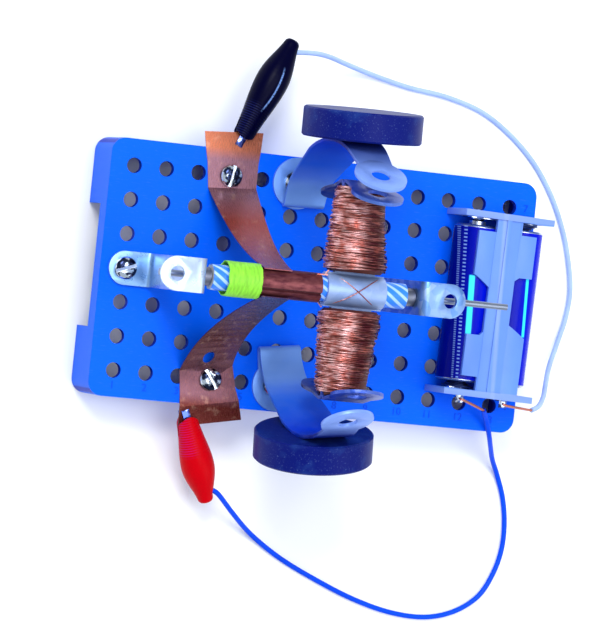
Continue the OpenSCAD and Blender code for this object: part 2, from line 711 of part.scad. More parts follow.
module magnet_strap(k) color([0.35, 0.55, 0.9]) rotate([90, 0, 90]) {
    path = strap_path(k);
    difference() {
        union() {
            translate([0, 0, strap_skew[k]]) intersection() {
                strip(path, strip_t, strap_w + 1);
                // Outline of the strip seen from the side that faces the rotor, widest at strap_w_z
                rotate([90, 0, 90]) linear_extrude(height = 4 * foot_l[k] + 4 * strap_w, center = true) polygon([
                    for (p = [[-1, foot_strip_w], [strip_t + proud, foot_strip_w], [strap_w_z, strap_w],
                        [last(path)[1], strap_end_w], [last(path)[1] + strap_w, strap_end_w]])
                        [p[0], p[1] / 2],
                    for (p = [[last(path)[1] + strap_w, strap_end_w], [last(path)[1], strap_end_w],
                        [strap_w_z, strap_w], [strip_t + proud, foot_strip_w], [-1, foot_strip_w]])
                        [p[0], -p[1] / 2]]);
            }
            strip_disc(path[0], lug_d / 2, strip_t + proud);
            translate([0, 0, strap_skew[k]]) strip_disc(last(path), lug_d / 2, strip_t + proud);
        }
        strip_disc(path[0], lug_hole_d / 2, strip_t + through);
        translate([0, 0, strap_skew[k]]) strip_disc(last(path), lug_hole_d / 2, strip_t + through);
    }
}

// Place of a strap on its screw
module strap_place(k) {
    if (k == 0) translate([strap_x + strap_shift, screw_row_y, 0]) rotate([0, 0, strap_turn[k]]) children();
    else mirror([0, 1, 0]) translate([strap_x + strap_shift, screw_row_y, 0]) rotate([0, 0, strap_turn[k]])
        children();
}

module rear_magnet_strap() strap_place(0) magnet_strap(0);
module front_magnet_strap() strap_place(1) magnet_strap(1);

// Magnet whose inner face touches the outside of the large curve, in the strap's frame
module magnet(k) color([0.08, 0.1, 0.3]) {
    start = curve_start(k);
    heading = 90 - magnet_lean[k];
    seat_r = curve_r[k] + strip_t / 2 - press;
    seat_y = start[0] + (seat_r * sin(heading) - curve_r[k] * sin(start[2]));
    seat_z = start[1] - (seat_r * cos(heading) - curve_r[k] * cos(start[2]));
    translate([strap_skew[k] + magnet_shift[k], seat_y, seat_z]) rotate([-magnet_lean[k] - 90, 0, 0])
        translate([0, magnet_drop[k], 0]) rotate_extrude() polygon([[0, 0], [magnet_d / 2 - magnet_chamfer, 0],
            [magnet_d / 2, magnet_chamfer], [magnet_d / 2, magnet_t - magnet_chamfer],
            [magnet_d / 2 - magnet_chamfer, magnet_t], [0, magnet_t]]);
}

module rear_magnet() strap_place(0) magnet(0);
module front_magnet() strap_place(1) magnet(1);

// ---- Brushes ----

function turn_z(p, a) = [p[0] * cos(a) - p[1] * sin(a), p[0] * sin(a) + p[1] * cos(a), p[2]];
function turn_x(p, a) = [p[0], p[1] * cos(a) - p[2] * sin(a), p[1] * sin(a) + p[2] * cos(a)];

// Foot frame of brush k on the +Y side: +Y outwards, origin at the screw
module foot_frame(k) translate([brush_x, screw_row_y, 0]) rotate([0, 0, -foot_turn[k]]) children();
function foot_point(k, p) = turn_z(p, -foot_turn[k]) + [brush_x, screw_row_y, 0];

// Frame of the outer tab of brush k, at the crease over the board's edge
module tab_frame(k) foot_frame(k) translate([0, foot_out, foil_t / 2 + crease_lift[k]])
    rotate([tab_tilt[k], 0, 0]) children();

// Middle line of a brush arm from the fold to the commutator: points of a cubic curve
function arm_point(k, t) = let (
    start = foot_point(k, [foot_shift[k], -foot_in[k], foil_t / 2]),
    reach = commutator_r + brush_gap + foil_t / 2,
    touch = [tip_x, reach * sin(arm_end_angle), axle_z + reach * cos(arm_end_angle)],
    out = turn_z([0, -cos(arm_start_angle), sin(arm_start_angle)], -foot_turn[k]),
    inward = [0, -cos(arm_end_angle), sin(arm_end_angle)],
    pull = 0.36 * norm(touch - start),
    a = start + pull * out,
    b = touch - pull * inward,
    s = 1 - t)
    t <= 1 ? s * s * s * start + 3 * s * s * t * a + 3 * s * t * t * b + t * t * t * touch
        : touch + (t - 1) * inward;

// Stations of a brush from its tab to its tip: [middle point, direction across, width]
function brush_stations(k) = let (
    across = turn_z([1, 0, 0], -foot_turn[k]),
    crease = [foot_shift[k], foot_out, foil_t / 2 + crease_lift[k]],
    flat = [foot_shift[k], flat_run, foil_t / 2],
    tab = turn_x([0, tab_l, 0], tab_tilt[k]) + crease,
    steps = 14)
    concat([
        [foot_point(k, tab), across, foot_w[k] + tab_flare],
        [foot_point(k, crease), across, foot_w[k] + 0.6 * tab_flare],
        [foot_point(k, flat), across, foot_w[k] + 0.25 * tab_flare]],
        [for (i = [0 : steps]) let (s = i / steps)
            [arm_point(k, s), unit(turn_z([1, 0, 0], -foot_turn[k] * (1 - s))),
             foot_w[k] + (tip_w - foot_w[k]) * s]],
        [[arm_point(k, 1 + tip_over), [1, 0, 0], tip_w]]);

// Sheet of thickness t through a list of stations
module sheet(stations, t) {
    n = len(stations);
    middle = [for (s = stations) s[0]];
    points = [for (i = [0 : n - 1])
        let (before = unit(middle[max(i, 1)] - middle[max(i, 1) - 1]),
             after = unit(middle[min(i, n - 2) + 1] - middle[min(i, n - 2)]),
             along = unit(before + after),
             up = unit(cross(stations[i][1], along)) / (along * after))
        for (c = [[-1, -1], [1, -1], [1, 1], [-1, 1]])
            middle[i] + c[0] * stations[i][2] / 2 * stations[i][1] + c[1] * t / 2 * up];
    walls = [for (i = [0 : n - 2]) for (c = [0 : 3])
        let (a = 4 * i + c, b = 4 * i + (c + 1) % 4)
        for (f = [[a, b, b + 4], [a, b + 4, a + 4]]) f];
    polyhedron(points = points, faces = concat(walls,
        [[2, 1, 0], [3, 2, 0], [4 * n - 4, 4 * n - 3, 4 * n - 2], [4 * n - 4, 4 * n - 2, 4 * n - 1]]),
        convexity = 4);
}

module brush(k) color([0.72, 0.45, 0.38]) difference() {
    sheet(brush_stations(k), foil_t);
    foot_frame(k) translate([0, 0, -through]) cylinder(d = screw_d + 0.4, h = foil_t + 2 * through);
    if (k == 1) foot_frame(k) translate([-1.5, -foot_in[k] - 3.6, 0])
        cylinder(d = spare_hole_d, h = 4 * foot_in[k]);
}

module rear_brush() brush(0);
module front_brush() mirror([0, 1, 0]) brush(1);

// ---- Cells and holder ----

module holder_frame() translate([holder_x, 0, 0]) rotate([0, 0, -holder_turn]) children();

// Back over both cells, with a raised spine between them
module holder_back() {
    cover_x = cell_x + (back_r + back_t) * sin(back_cover);
    spine_w = 8;
    rotate([90, 0, 0]) linear_extrude(height = inner_l + end_wall_t, center = true) difference() {
        intersection() {
            union() {
                for (s = [-1, 1]) translate([s * cell_x, cell_z]) circle(back_r + back_t);
                translate([-spine_w / 2, 0]) square([spine_w, cell_z + back_r + back_t / 2]);
                translate([-spine_w / 12, 0]) square([spine_w / 6, holder_top - back_t / 8]);
            }
            translate([-cover_x, cell_z + back_r / 2]) square([2 * cover_x, holder_top]);
        }
        for (s = [-1, 1]) translate([s * cell_x, cell_z]) circle(back_r);
    }
}

// Slanted window in the back over one cell
module holder_window() linear_extrude(height = holder_top)
    polygon([[-cell_x - cell_r, 9.5], [-cell_x - 2, 9], [-4.2, 5.5], [-4.2, -8.5], [-5.5, -9.6],
        [-cell_x - cell_r, -9.8]]);

module cell_holder() color([0.6, 0.72, 1, 0.5]) holder_frame() difference() {
    union() {
        holder_back();
        for (s = [-1, 1]) translate([-holder_w / 2, s * (holder_l / 2 - end_wall_t / 2) - end_wall_t / 2, 0])
            cube([holder_w, end_wall_t, holder_top]);
    }
    translate([0, 0, cell_z]) for (a = [0, 180]) rotate([0, 0, a]) holder_window();
    // Notches over the contacts at three ends of the troughs
    translate([-cell_x - cell_r, inner_l / 2 - 4.1, cell_z]) cube([cell_r + 3.6, 4.1, holder_top]);
    translate([-cell_x - cell_r, -inner_l / 2, cell_z]) cube([cell_r + 3, 4.3, holder_top]);
    translate([cell_x - 2.8, inner_l / 2 - 4.1, cell_z]) cube([cell_r + 3, 4.1, holder_top]);
    // Slots for the solder tags and holes for the rivets
    for (s = [-1, 1]) translate([s * cell_x, -holder_l / 2, tag_z])
        cube([tag_w + 2 * snug, 3 * end_wall_t, contact_t + 2 * snug], center = true);
    for (s = [-1, 1]) translate([s * cell_x, -s * holder_l / 2, cell_z])
        rotate([90, 0, 0]) cylinder(d = rivet_d / 2 + 2 * snug, h = 3 * end_wall_t, center = true);
}

// Cell along +Y with its button at the +Y end
module cell() color([0.75, 0.77, 0.8]) rotate([-90, 0, 0]) rotate_extrude() polygon([
    [0, -cell_l / 2], [cell_r - 0.8, -cell_l / 2], [cell_r - wrapper_t, -cell_l / 2 + 0.5],
    [cell_r - wrapper_t, cell_l / 2 - 0.6], [cell_r - 1, cell_l / 2], [button_d / 2, cell_l / 2],
    [button_d / 2, cell_l / 2 + button_h], [0, cell_l / 2 + button_h]]);

module wrapper() color([0, 0.12, 0.8]) rotate([-90, 0, 0]) difference() {
    translate([0, 0, -cell_l / 2 + 0.7]) cylinder(r = cell_r, h = cell_l - 1.5);
    translate([0, 0, -cell_l / 2 - through]) cylinder(r = cell_r - wrapper_t + 0.005, h = cell_l + 2 * through);
}

// Place of the left (-1) or right (+1) cell; the buttons point opposite ways
module cell_place(s) holder_frame() translate([s * cell_x, -s * cell_shift, cell_z])
    rotate([0, 0, s > 0 ? 180 : 0]) children();

module left_cell() cell_place(-1) cell();
module right_cell() cell_place(1) cell();
module left_wrapper() cell_place(-1) wrapper();
module right_wrapper() cell_place(1) wrapper();

// Plate against the inside of an end wall with an optional rivet hole
module contact_plate(x0, x1, rivet_x) difference() {
    translate([x0, inner_l / 2 - contact_t, cell_z - contact_low]) 
        cube([x1 - x0, contact_t, contact_low + contact_high]);
    if (rivet_x != 0) translate([rivet_x, inner_l / 2, cell_z])
        rotate([90, 0, 0]) cylinder(d = rivet_d / 2 + 2 * snug, h = 3 * contact_t, center = true);
}

module link_contact() color([0.8, 0.8, 0.82]) holder_frame()
    contact_plate(-cell_x - contact_half, cell_x + contact_half, -cell_x);

// Front contact with a solder tag through the end wall, s = -1 left and +1 right
module front_contact(s) color([0.8, 0.8, 0.82]) holder_frame() mirror([0, 1, 0]) {
    contact_plate(s * cell_x - contact_half, s * cell_x + contact_half, s > 0 ? cell_x : 0);
    translate([s * cell_x - tag_w / 2, inner_l / 2 - contact_t, tag_z - contact_t / 2])
        cube([tag_w, contact_t + end_wall_t + tag_l, contact_t]);
}

module positive_contact() front_contact(1);
module negative_contact() front_contact(-1);

module contact_rivets() color([0.9, 0.9, 0.92]) holder_frame() for (s = [-1, 1])
    translate([s * cell_x, -s * (inner_l / 2 - contact_t), cell_z]) rotate([0, 0, s > 0 ? 180 : 0])
        rotate([90, 0, 0]) rotate_extrude() polygon([[0, rivet_head_h], [rivet_d * 0.3, rivet_head_h],
            [rivet_d / 2, rivet_head_h * 0.4], [rivet_d / 2, 0], [rivet_d / 4, 0],
            [rivet_d / 4, -contact_t - end_wall_t - 0.4], [0, -contact_t - end_wall_t - 0.4]]);

// Conical spring between an end wall's contact and a cell's flat end
module contact_spring() {
    turns = 3.25;
    steps = 14 * turns;
    y0 = inner_l / 2 - contact_t - spring_wire_d / 2 + press;
    y1 = cell_l / 2 - cell_shift + spring_wire_d / 2 - press;
    tube([for (i = [0 : steps]) let (a = 360 * turns * i / steps, r = 5 - 2.6 * i / steps,
        f = max(0, min(1, (i / steps - 0.12) / 0.76)))
        [r * cos(a), y0 + (y1 - y0) * f, r * sin(a)]], spring_wire_d / 2, 6, [0, 1, 0]);
}

module contact_springs() color([0.25, 0.27, 0.32]) holder_frame() {
    translate([cell_x, 0, cell_z]) contact_spring();
    translate([-cell_x, 0, cell_z]) mirror([0, 1, 0]) contact_spring();
}

// ---- Clips ----

// Clip frame: +Y from the tip to the tail, +Z away from the board, grip plane at z = 0
module clip_frame(k) {
    if (k == 0) tab_frame(k) translate([grip_x[k], grip_y[k], 0]) rotate([0, 0, -clip_turn[k]]) children();
    else mirror([0, 1, 0]) tab_frame(k) translate([grip_x[k], grip_y[k], 0])
        rotate([0, 0, -clip_turn[k]]) children();
}

function clip_point(k, p) = let (
    tab = turn_z(p, -clip_turn[k]) + [grip_x[k], grip_y[k], 0],
    foot = turn_x(tab, tab_tilt[k]) + [0, foot_out, foil_t / 2 + crease_lift[k]],
    q = foot_point(k, foot)) [q[0], side[k] * q[1], q[2]];

// Side of a jaw: outline in the plane across the pivot, from the tip along +Y
module jaw_side(outline, x, t) translate([x - t / 2, 0, 0]) rotate([90, 0, 90])
    linear_extrude(height = t) polygon(outline);

module lower_jaw() color([0.8, 0.82, 0.85]) difference() {
    union() {
        grip = -foil_t / 2;
        for (s = [-1, 1]) jaw_side([[0, grip], [0, -1.2], [2.5, -jaw_depth], [barrel_y0, -jaw_depth],
            [barrel_y0, barrel_z], [pivot_y + 4, -0.6], [pivot_y + 1.3, 1.2], [pivot_y - 1.3, 1.2],
            [pivot_y - 3, -0.6], [6, -0.8], [5, grip]], s * (jaw_w / 2 - jaw_t / 2), jaw_t);
        translate([-jaw_w / 2, 2.5, -jaw_depth]) cube([jaw_w, barrel_y1 - 2.5, jaw_t]);
        translate([0, barrel_y0, barrel_z]) rotate([-90, 0, 0]) cylinder(r = barrel_r, h = barrel_y1 - barrel_y0);
        translate([-jaw_w / 2, 0, -1.2]) cube([jaw_w, jaw_t, 1.2 + grip]);
    }
    translate([0, barrel_y0 - through, barrel_z]) rotate([-90, 0, 0])
        cylinder(r = lead_r - press, h = barrel_y1 - barrel_y0 + 2 * through);
    translate([0, pivot_y, 0]) rod_x(-jaw_w, jaw_w, pivot_d / 2);
}

module upper_jaw() color([0.8, 0.82, 0.85]) difference() {
    inner_w = jaw_w - 2 * jaw_t - 0.2;
    grip = foil_t / 2;
    lever_end = pivot_y + 9;
    union() {
        for (s = [-1, 1]) jaw_side([[0, grip], [5, grip], [6, 0.7], [pivot_y - 2.4, 0.6], [pivot_y - 1.2, -1],
            [pivot_y + 1.2, -1], [pivot_y + 2.4, 0.8], [lever_end - 3, jaw_depth - 0.6],
            [lever_end - 3, jaw_depth + 0.2], [pivot_y, jaw_depth - 0.1], [pivot_y - 4, jaw_depth - 0.1],
            [4, jaw_depth - 0.9], [0, jaw_depth - 1.2]], s * (inner_w / 2 - jaw_t / 2), jaw_t);
        jaw_side([[0.2, jaw_depth - 1.1 - jaw_t], [4, jaw_depth - 0.8 - jaw_t], [pivot_y - 4, jaw_depth - jaw_t],
            [pivot_y, jaw_depth - jaw_t], [lever_end, jaw_depth + 0.6 - jaw_t], [lever_end, jaw_depth + 0.6],
            [pivot_y, jaw_depth], [pivot_y - 4, jaw_depth], [4, jaw_depth - 0.8], [0.2, jaw_depth - 1.1]],
            0, inner_w);
        translate([-inner_w / 2, 0, grip]) cube([inner_w, jaw_t, jaw_depth - 1.25 - grip]);
    }
    translate([0, pivot_y, 0]) rod_x(-jaw_w, jaw_w, pivot_d / 2 + running);
}

module pivot_pin() color([0.7, 0.72, 0.76]) translate([0, pivot_y, 0]) {
    rod_x(-jaw_w / 2, jaw_w / 2, pivot_d / 2);
    for (s = [0, 1]) mirror([s, 0, 0]) rod_x(jaw_w / 2, jaw_w / 2 + 0.3, pivot_d / 2 + 0.3);
}

// Torsion spring around the pivot, with one leg on each jaw
module jaw_spring() color([0.3, 0.32, 0.36]) translate([0, pivot_y, 0]) {
    wire_r = 0.18;
    r = pivot_d / 2 + wire_r + 0.12;
    turns = 2.5;
    steps = 12 * turns;
    coil_points = [for (i = [0 : steps]) let (a = 135 + 360 * turns * i / steps)
        [-0.5 + i / steps, -r * cos(a), r * sin(a)]];
    leg_up = [-0.5, 4.2, jaw_depth - jaw_t - wire_r];
    leg_down = [0.5, 5, -jaw_depth + jaw_t + wire_r];
    tube(concat([leg_up], coil_points, [leg_down]), wire_r, 6, [1, 0, 0.02]);
}

// Outline of a boot from mouth to its rounded tail: radius along its length, smaller by the inset
function boot_outline(k, inset) = let (l = clip_l[k] - boot_start[k], round_l = 1.6)
    concat([for (i = [0 : 24]) let (t = i / 24, y = boot_start[k] + t * (l - round_l),
        belly = (boot_belly_r - boot_mouth_r) * pow(sin(180 * pow(t, 1.4)), 1.2),
        taper = t < 0.6 ? 0 : (boot_mouth_r - boot_tail_r) * (1 - cos(180 * (t - 0.6) / 0.4)) / 2)
        [boot_mouth_r + belly - taper - inset, y]],
        [for (a = [30, 60, 80]) [(boot_tail_r - inset) * (0.45 + 0.55 * cos(a)),
            clip_l[k] - round_l + (round_l - inset) * sin(a)]]);

// Frame of a lead where it passes the side of a boot, looking outwards along the lead
module hole_frame(k) translate([0, clip_l[k] - hole_back[k], 0]) rotate([0, -hole_turn[k], 0])
    translate([2.6, 0, 0]) rotate([0, 0, 90 - hole_slant[k]]) rotate([0, 90, 0]) children();

module boot(k) difference() {
    rotate([-90, 0, 0]) rotate_extrude() polygon(concat([[0, boot_start[k]]], boot_outline(k, 0), [[0, clip_l[k]]]));
    rotate([-90, 0, 0]) rotate_extrude() polygon(concat([[0, boot_start[k] - through],
        [boot_mouth_r - boot_wall, boot_start[k] - through]], boot_outline(k, boot_wall),
        [[0, clip_l[k] - boot_wall]]));
    // The mouth draws back on both sides of the rounded lips
    for (s = [-1, 1]) translate([0, 0, -2 * boot_belly_r]) linear_extrude(height = 4 * boot_belly_r)
        polygon(concat([[s * (boot_belly_r + through), boot_start[k] + lip_depth[k]],
            [s * (boot_belly_r + through), boot_start[k] - through], [0, boot_start[k] - through]],
            [for (i = [0 : 8]) [s * boot_mouth_r * i / 8, boot_start[k] + lip_depth[k] * pow(i / 8, 2)]]));
    // Slit of the mouth over the brush's tab
    translate([0, boot_start[k] + 1, 0]) cube([3 * boot_mouth_r, 9, 2 * foil_t + 0.6], center = true);
    // Side hole for the lead
    hole_frame(k) translate([0, 0, -1.6]) cylinder(r = lead_r + 0.3, h = 2 * boot_mouth_r);
}

module black_lower_jaw() clip_frame(0) lower_jaw();
module black_upper_jaw() clip_frame(0) upper_jaw();
module black_pivot_pin() clip_frame(0) pivot_pin();
module black_jaw_spring() clip_frame(0) jaw_spring();
module black_boot() color([0.05, 0.05, 0.2]) clip_frame(0) boot(0);
module red_lower_jaw() clip_frame(1) lower_jaw();
module red_upper_jaw() clip_frame(1) upper_jaw();
module red_pivot_pin() clip_frame(1) pivot_pin();
module red_jaw_spring() clip_frame(1) jaw_spring();
module red_boot() color([0.82, 0, 0.06]) clip_frame(1) boot(1);

// ---- Leads ----

// Middle of a lead that lies on the ground beside the board
ground = -board_h + lead_r;
// Route of the white lead from the holder, down beside the board and round to the black clip
white_route = [[73.5, -31.5, 9.5], [77, -30, 7], [80.5, -27, 2], [84, -23, -5], [87.5, -17.5, -11.5],
    [91, -10, -15], [93.5, -1, -15.7], [94, 8, -15.7], [92, 18, -15.7], [89, 27, -15.7], [84, 37, -15.7],
    [77, 46.5, -15.7], [68, 54.5, -15.7], [57, 61, -15.7], [44, 64.5, -15.7], [31, 66, -15.7],
    [18, 68.5, -14.5], [8, 70.5, -11], [0, 72, -6.5], [-6.5, 72.4, -2.6]];
// Route of the blue lead from the holder, over the front edge and round to the red clip
blue_route = [[58.5, -33, 6.5], [60.5, -35.5, 4], [62.5, -38.5, 2], [64.5, -41.5, -0.5], [67.5, -45, -5.5],
    [71, -49, -11], [75, -54, -15], [78, -61, -15.7], [79.5, -69, -15.7], [79.5, -77, -15.7],
    [77.5, -85, -15.7], [73, -93, -15.7], [65, -98.5, -15.7], [55, -101, -15.7], [43, -100.3, -15.7],
    [30, -97, -15.7], [17, -92, -15.7], [4, -86, -15.7], [-7, -79.3, -14.2], [-16, -73, -8]];

// Point of a lead at a distance out from the middle of clip k, and along from its tail
function entry_point(k, out, y, drop = 0) = clip_point(k,
    [out * cos(hole_turn[k]), clip_l[k] + y, out * sin(hole_turn[k]) - drop]);
// Last stretch of a lead, through the side hole of clip k to the crimp
function clip_entry(k) = concat(k == 0 ?
    [entry_point(0, 3.6, -2.3), entry_point(0, 1, -3.8, 0.1), entry_point(0, 0, -6.8, 0.4),
     entry_point(0, 0, -10, -barrel_z)] :
    [entry_point(1, 4.4, -1.4, 1), entry_point(1, 2, -3.7, 0.6), entry_point(1, 0.5, -5.8, 0.6)],
    [for (y = [barrel_y1 - 0.9, barrel_y0 + 0.5]) clip_point(k, [0, y, barrel_z])]);

module white_lead() color([0.8, 0.87, 1])
    tube(spline(concat(white_route, clip_entry(0)), 3), lead_r, 8, [0, 0, 1]);
module blue_lead() color([0, 0.31, 0.96])
    tube(spline(concat(blue_route, clip_entry(1)), 3), lead_r, 8, [0, 0, 1]);

// Bare strands from the solder tags to the ends of the insulation
function holder_point(p) = turn_z(p, -holder_turn) + [holder_x, 0, 0];
module bare_end(s, target) {
    tag = holder_point([s * cell_x, -holder_l / 2 - tag_l / 2, tag_z + contact_t / 2 + 0.35]);
    aside = holder_point([s * cell_x + 1.8, -holder_l / 2 - tag_l / 2 - 0.4, tag_z + contact_t / 2 + 0.3]);
    tube(spline([tag, aside, target], 5), 0.4, 6, [0, 0, 1]);
}

module bare_lead_ends() color([0.8, 0.5, 0.4]) {
    bare_end(1, white_route[0]);
    bare_end(-1, blue_route[0]);
}

base_board();
left_bearing_bracket();
right_bearing_bracket();
left_bush();
right_bush();
bearing_screws();
bearing_nuts();
axle();
straw_sleeve();
sleeve_plugs();
core_upper();
core_lower();
rear_coil();
front_coil();
commutator_rear();
commutator_front();
insulating_tape();
coil_leads();
crossover_wires();
rear_magnet_strap();
front_magnet_strap();
strap_screws();
strap_nuts();
rear_magnet();
front_magnet();
rear_brush();
front_brush();
brush_screws();
brush_nuts();
cell_holder();
left_cell();
right_cell();
left_wrapper();
right_wrapper();
link_contact();
positive_contact();
negative_contact();
contact_rivets();
contact_springs();
white_lead();
blue_lead();
bare_lead_ends();
black_lower_jaw();
black_upper_jaw();
black_pivot_pin();
black_jaw_spring();
black_boot();
red_lower_jaw();
red_upper_jaw();
red_pivot_pin();
red_jaw_spring();
red_boot();
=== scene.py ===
"""Demonstration electric motor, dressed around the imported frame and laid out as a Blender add-on."""

import math
import random

import bmesh
import bpy
from mathutils import Matrix, Vector


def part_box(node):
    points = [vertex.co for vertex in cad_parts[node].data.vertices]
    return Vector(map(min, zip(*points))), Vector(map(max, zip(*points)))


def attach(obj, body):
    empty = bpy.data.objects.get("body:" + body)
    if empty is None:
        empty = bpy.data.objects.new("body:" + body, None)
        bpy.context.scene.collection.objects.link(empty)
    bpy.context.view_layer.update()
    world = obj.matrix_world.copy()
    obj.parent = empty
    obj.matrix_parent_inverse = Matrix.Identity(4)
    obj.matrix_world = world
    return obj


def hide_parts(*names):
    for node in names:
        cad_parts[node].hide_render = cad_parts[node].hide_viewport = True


bl_info = {
    "name": "Demonstration Motor",
    "version": (1, 0, 0),
    "blender": (4, 5, 0),
    "location": "View3D > Sidebar > Motor",
    "description": "Builds a two-pole demonstration motor on a perforated board, piece by piece",
    "category": "Object",
}

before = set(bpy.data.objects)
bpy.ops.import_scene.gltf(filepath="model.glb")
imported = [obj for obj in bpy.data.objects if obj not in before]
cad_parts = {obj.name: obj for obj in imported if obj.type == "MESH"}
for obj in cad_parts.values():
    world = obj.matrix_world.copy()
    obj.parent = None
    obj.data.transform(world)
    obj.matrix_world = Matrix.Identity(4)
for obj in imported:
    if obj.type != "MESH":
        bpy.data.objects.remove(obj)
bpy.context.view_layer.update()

MM = 0.001
BASE, ROTOR = "motor_base", "rotor"
X, Y = Vector((1, 0, 0)), Vector((0, 1, 0))

# The photograph's camera: its axes and its place, in the row frame
CAMERA_RIGHT = (0.92773, 0.10302, 0.35874)
CAMERA_DOWN = (0.09364, -0.99466, 0.04347)
CAMERA_FORWARD = (0.36130, -0.00674, -0.93242)
CAMERA_PLACE = (-0.50929, 0.00012, 1.30433)
FOCAL_PIXELS = 4500.0
IMAGE_HEIGHT = 632

BOARD_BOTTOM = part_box("base_board")[0].z
AXLE_Z = (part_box("axle")[0].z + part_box("axle")[1].z) / 2 / MM

# Millimetres in the row frame: middle of the rotor's arms, middle and half sizes of the board's flat top
ROTOR_X = -4.6
BOARD_X, BOARD_HALF_X, BOARD_HALF_Y = 0.65, 70.6, 39.2


# ---- Sizes and colours that a user would change ----


def size(label, text, value, low, high):
    return bpy.props.FloatProperty(name=label, description=text, default=value, min=low, max=high)


def colour(label, text, red, green, blue):
    return bpy.props.FloatVectorProperty(
        name=label, description=text, subtype="COLOR", size=3, min=0, max=1, default=linear(red, green, blue)
    )


def linear(red, green, blue):
    """Scene-linear colour of an 8-bit display colour."""
    return tuple(((c / 255 + 0.055) / 1.055) ** 2.4 if c > 10 else c / 255 / 12.92
                 for c in (red, green, blue))


class MotorSizes(bpy.types.PropertyGroup):
    """Sizes of the pieces, in millimetres."""

    hole_pitch: size("Hole pitch", "Distance between neighbouring holes of the board, in mm", 10.5, 10, 11)
    number_height: size("Number height", "Height of the raised numbers on the board, in mm", 3.4, 2, 4)
    foil_t: size("Brush thickness", "Thickness of the copper brushes, in mm", 0.3, 0.2, 0.4)
    winding_wire: size("Winding wire", "Diameter of the enamelled winding wire, in mm", 0.5, 0.4, 0.8)
    lead_d: size("Lead diameter", "Diameter of the insulated leads, in mm", 1.6, 1.2, 1.8)
    edge: size("Edge rounding", "Rounding of the steel edges, in mm", 0.16, 0.05, 0.3)


class MotorColours(bpy.types.PropertyGroup):
    """Main colours of the finishes."""

    board: colour("Board", "Moulded board", 0, 97, 255)
    steel: colour("Steel", "Zinc-coated brackets", 196, 214, 240)
    strap: colour("Strap steel", "Straps and rotor strips", 112, 158, 232)
    copper: colour("Winding", "Enamelled copper wire", 214, 112, 98)
    foil: colour("Foil", "Copper brushes", 190, 112, 92)
    tape: colour("Tape", "Insulating tape", 142, 226, 62)
    magnet: colour("Magnet", "Ferrite magnets", 6, 20, 104)
    holder: colour("Holder", "Frosted cell holder", 112, 160, 255)
    wrapper: colour("Wrapper", "Film around the cells", 0, 16, 190)
    white_lead: colour("White lead", "Insulation of the white lead", 166, 190, 238)
    blue_lead: colour("Blue lead", "Insulation of the blue lead", 0, 72, 230)
    black_boot: colour("Black boot", "Boot of the rear clip", 0, 0, 34)
    red_boot: colour("Red boot", "Boot of the front clip", 196, 0, 14)


# ---- Shader expressions ----


class Wire:
    """Output socket of a finish; sums and products of wires add their Math nodes."""

    def __init__(self, finish, socket):
        self.finish, self.socket = finish, socket

    def _math(self, operation, *values):
        return self.finish.node("ShaderNodeMath", {"operation": operation}, dict(enumerate(values)))

    def __add__(self, other):
        return self._math("ADD", self, other)

    def __sub__(self, other):
        return self._math("SUBTRACT", self, other)

    def __mul__(self, other):
        return self._math("MULTIPLY", self, other)

    def __truediv__(self, other):
        return self._math("DIVIDE", self, other)

    def __rsub__(self, other):
        return self._math("SUBTRACT", other, self)

    def __mod__(self, other):
        return self._math("FLOORED_MODULO", self, other)

    def __abs__(self):
        return self._math("ABSOLUTE", self)

    __radd__, __rmul__ = __add__, __mul__

    def above(self, limit, soft=0.0001):
        """1 where the value is above the limit, with a soft step."""
        return self.ramp(limit - soft, limit + soft)

    def ramp(self, low, high, out_low=0.0, out_high=1.0):
        values = {"Value": self, "From Min": low, "From Max": high, "To Min": out_low, "To Max": out_high}
        return self.finish.node("ShaderNodeMapRange", {"clamp": True}, values)


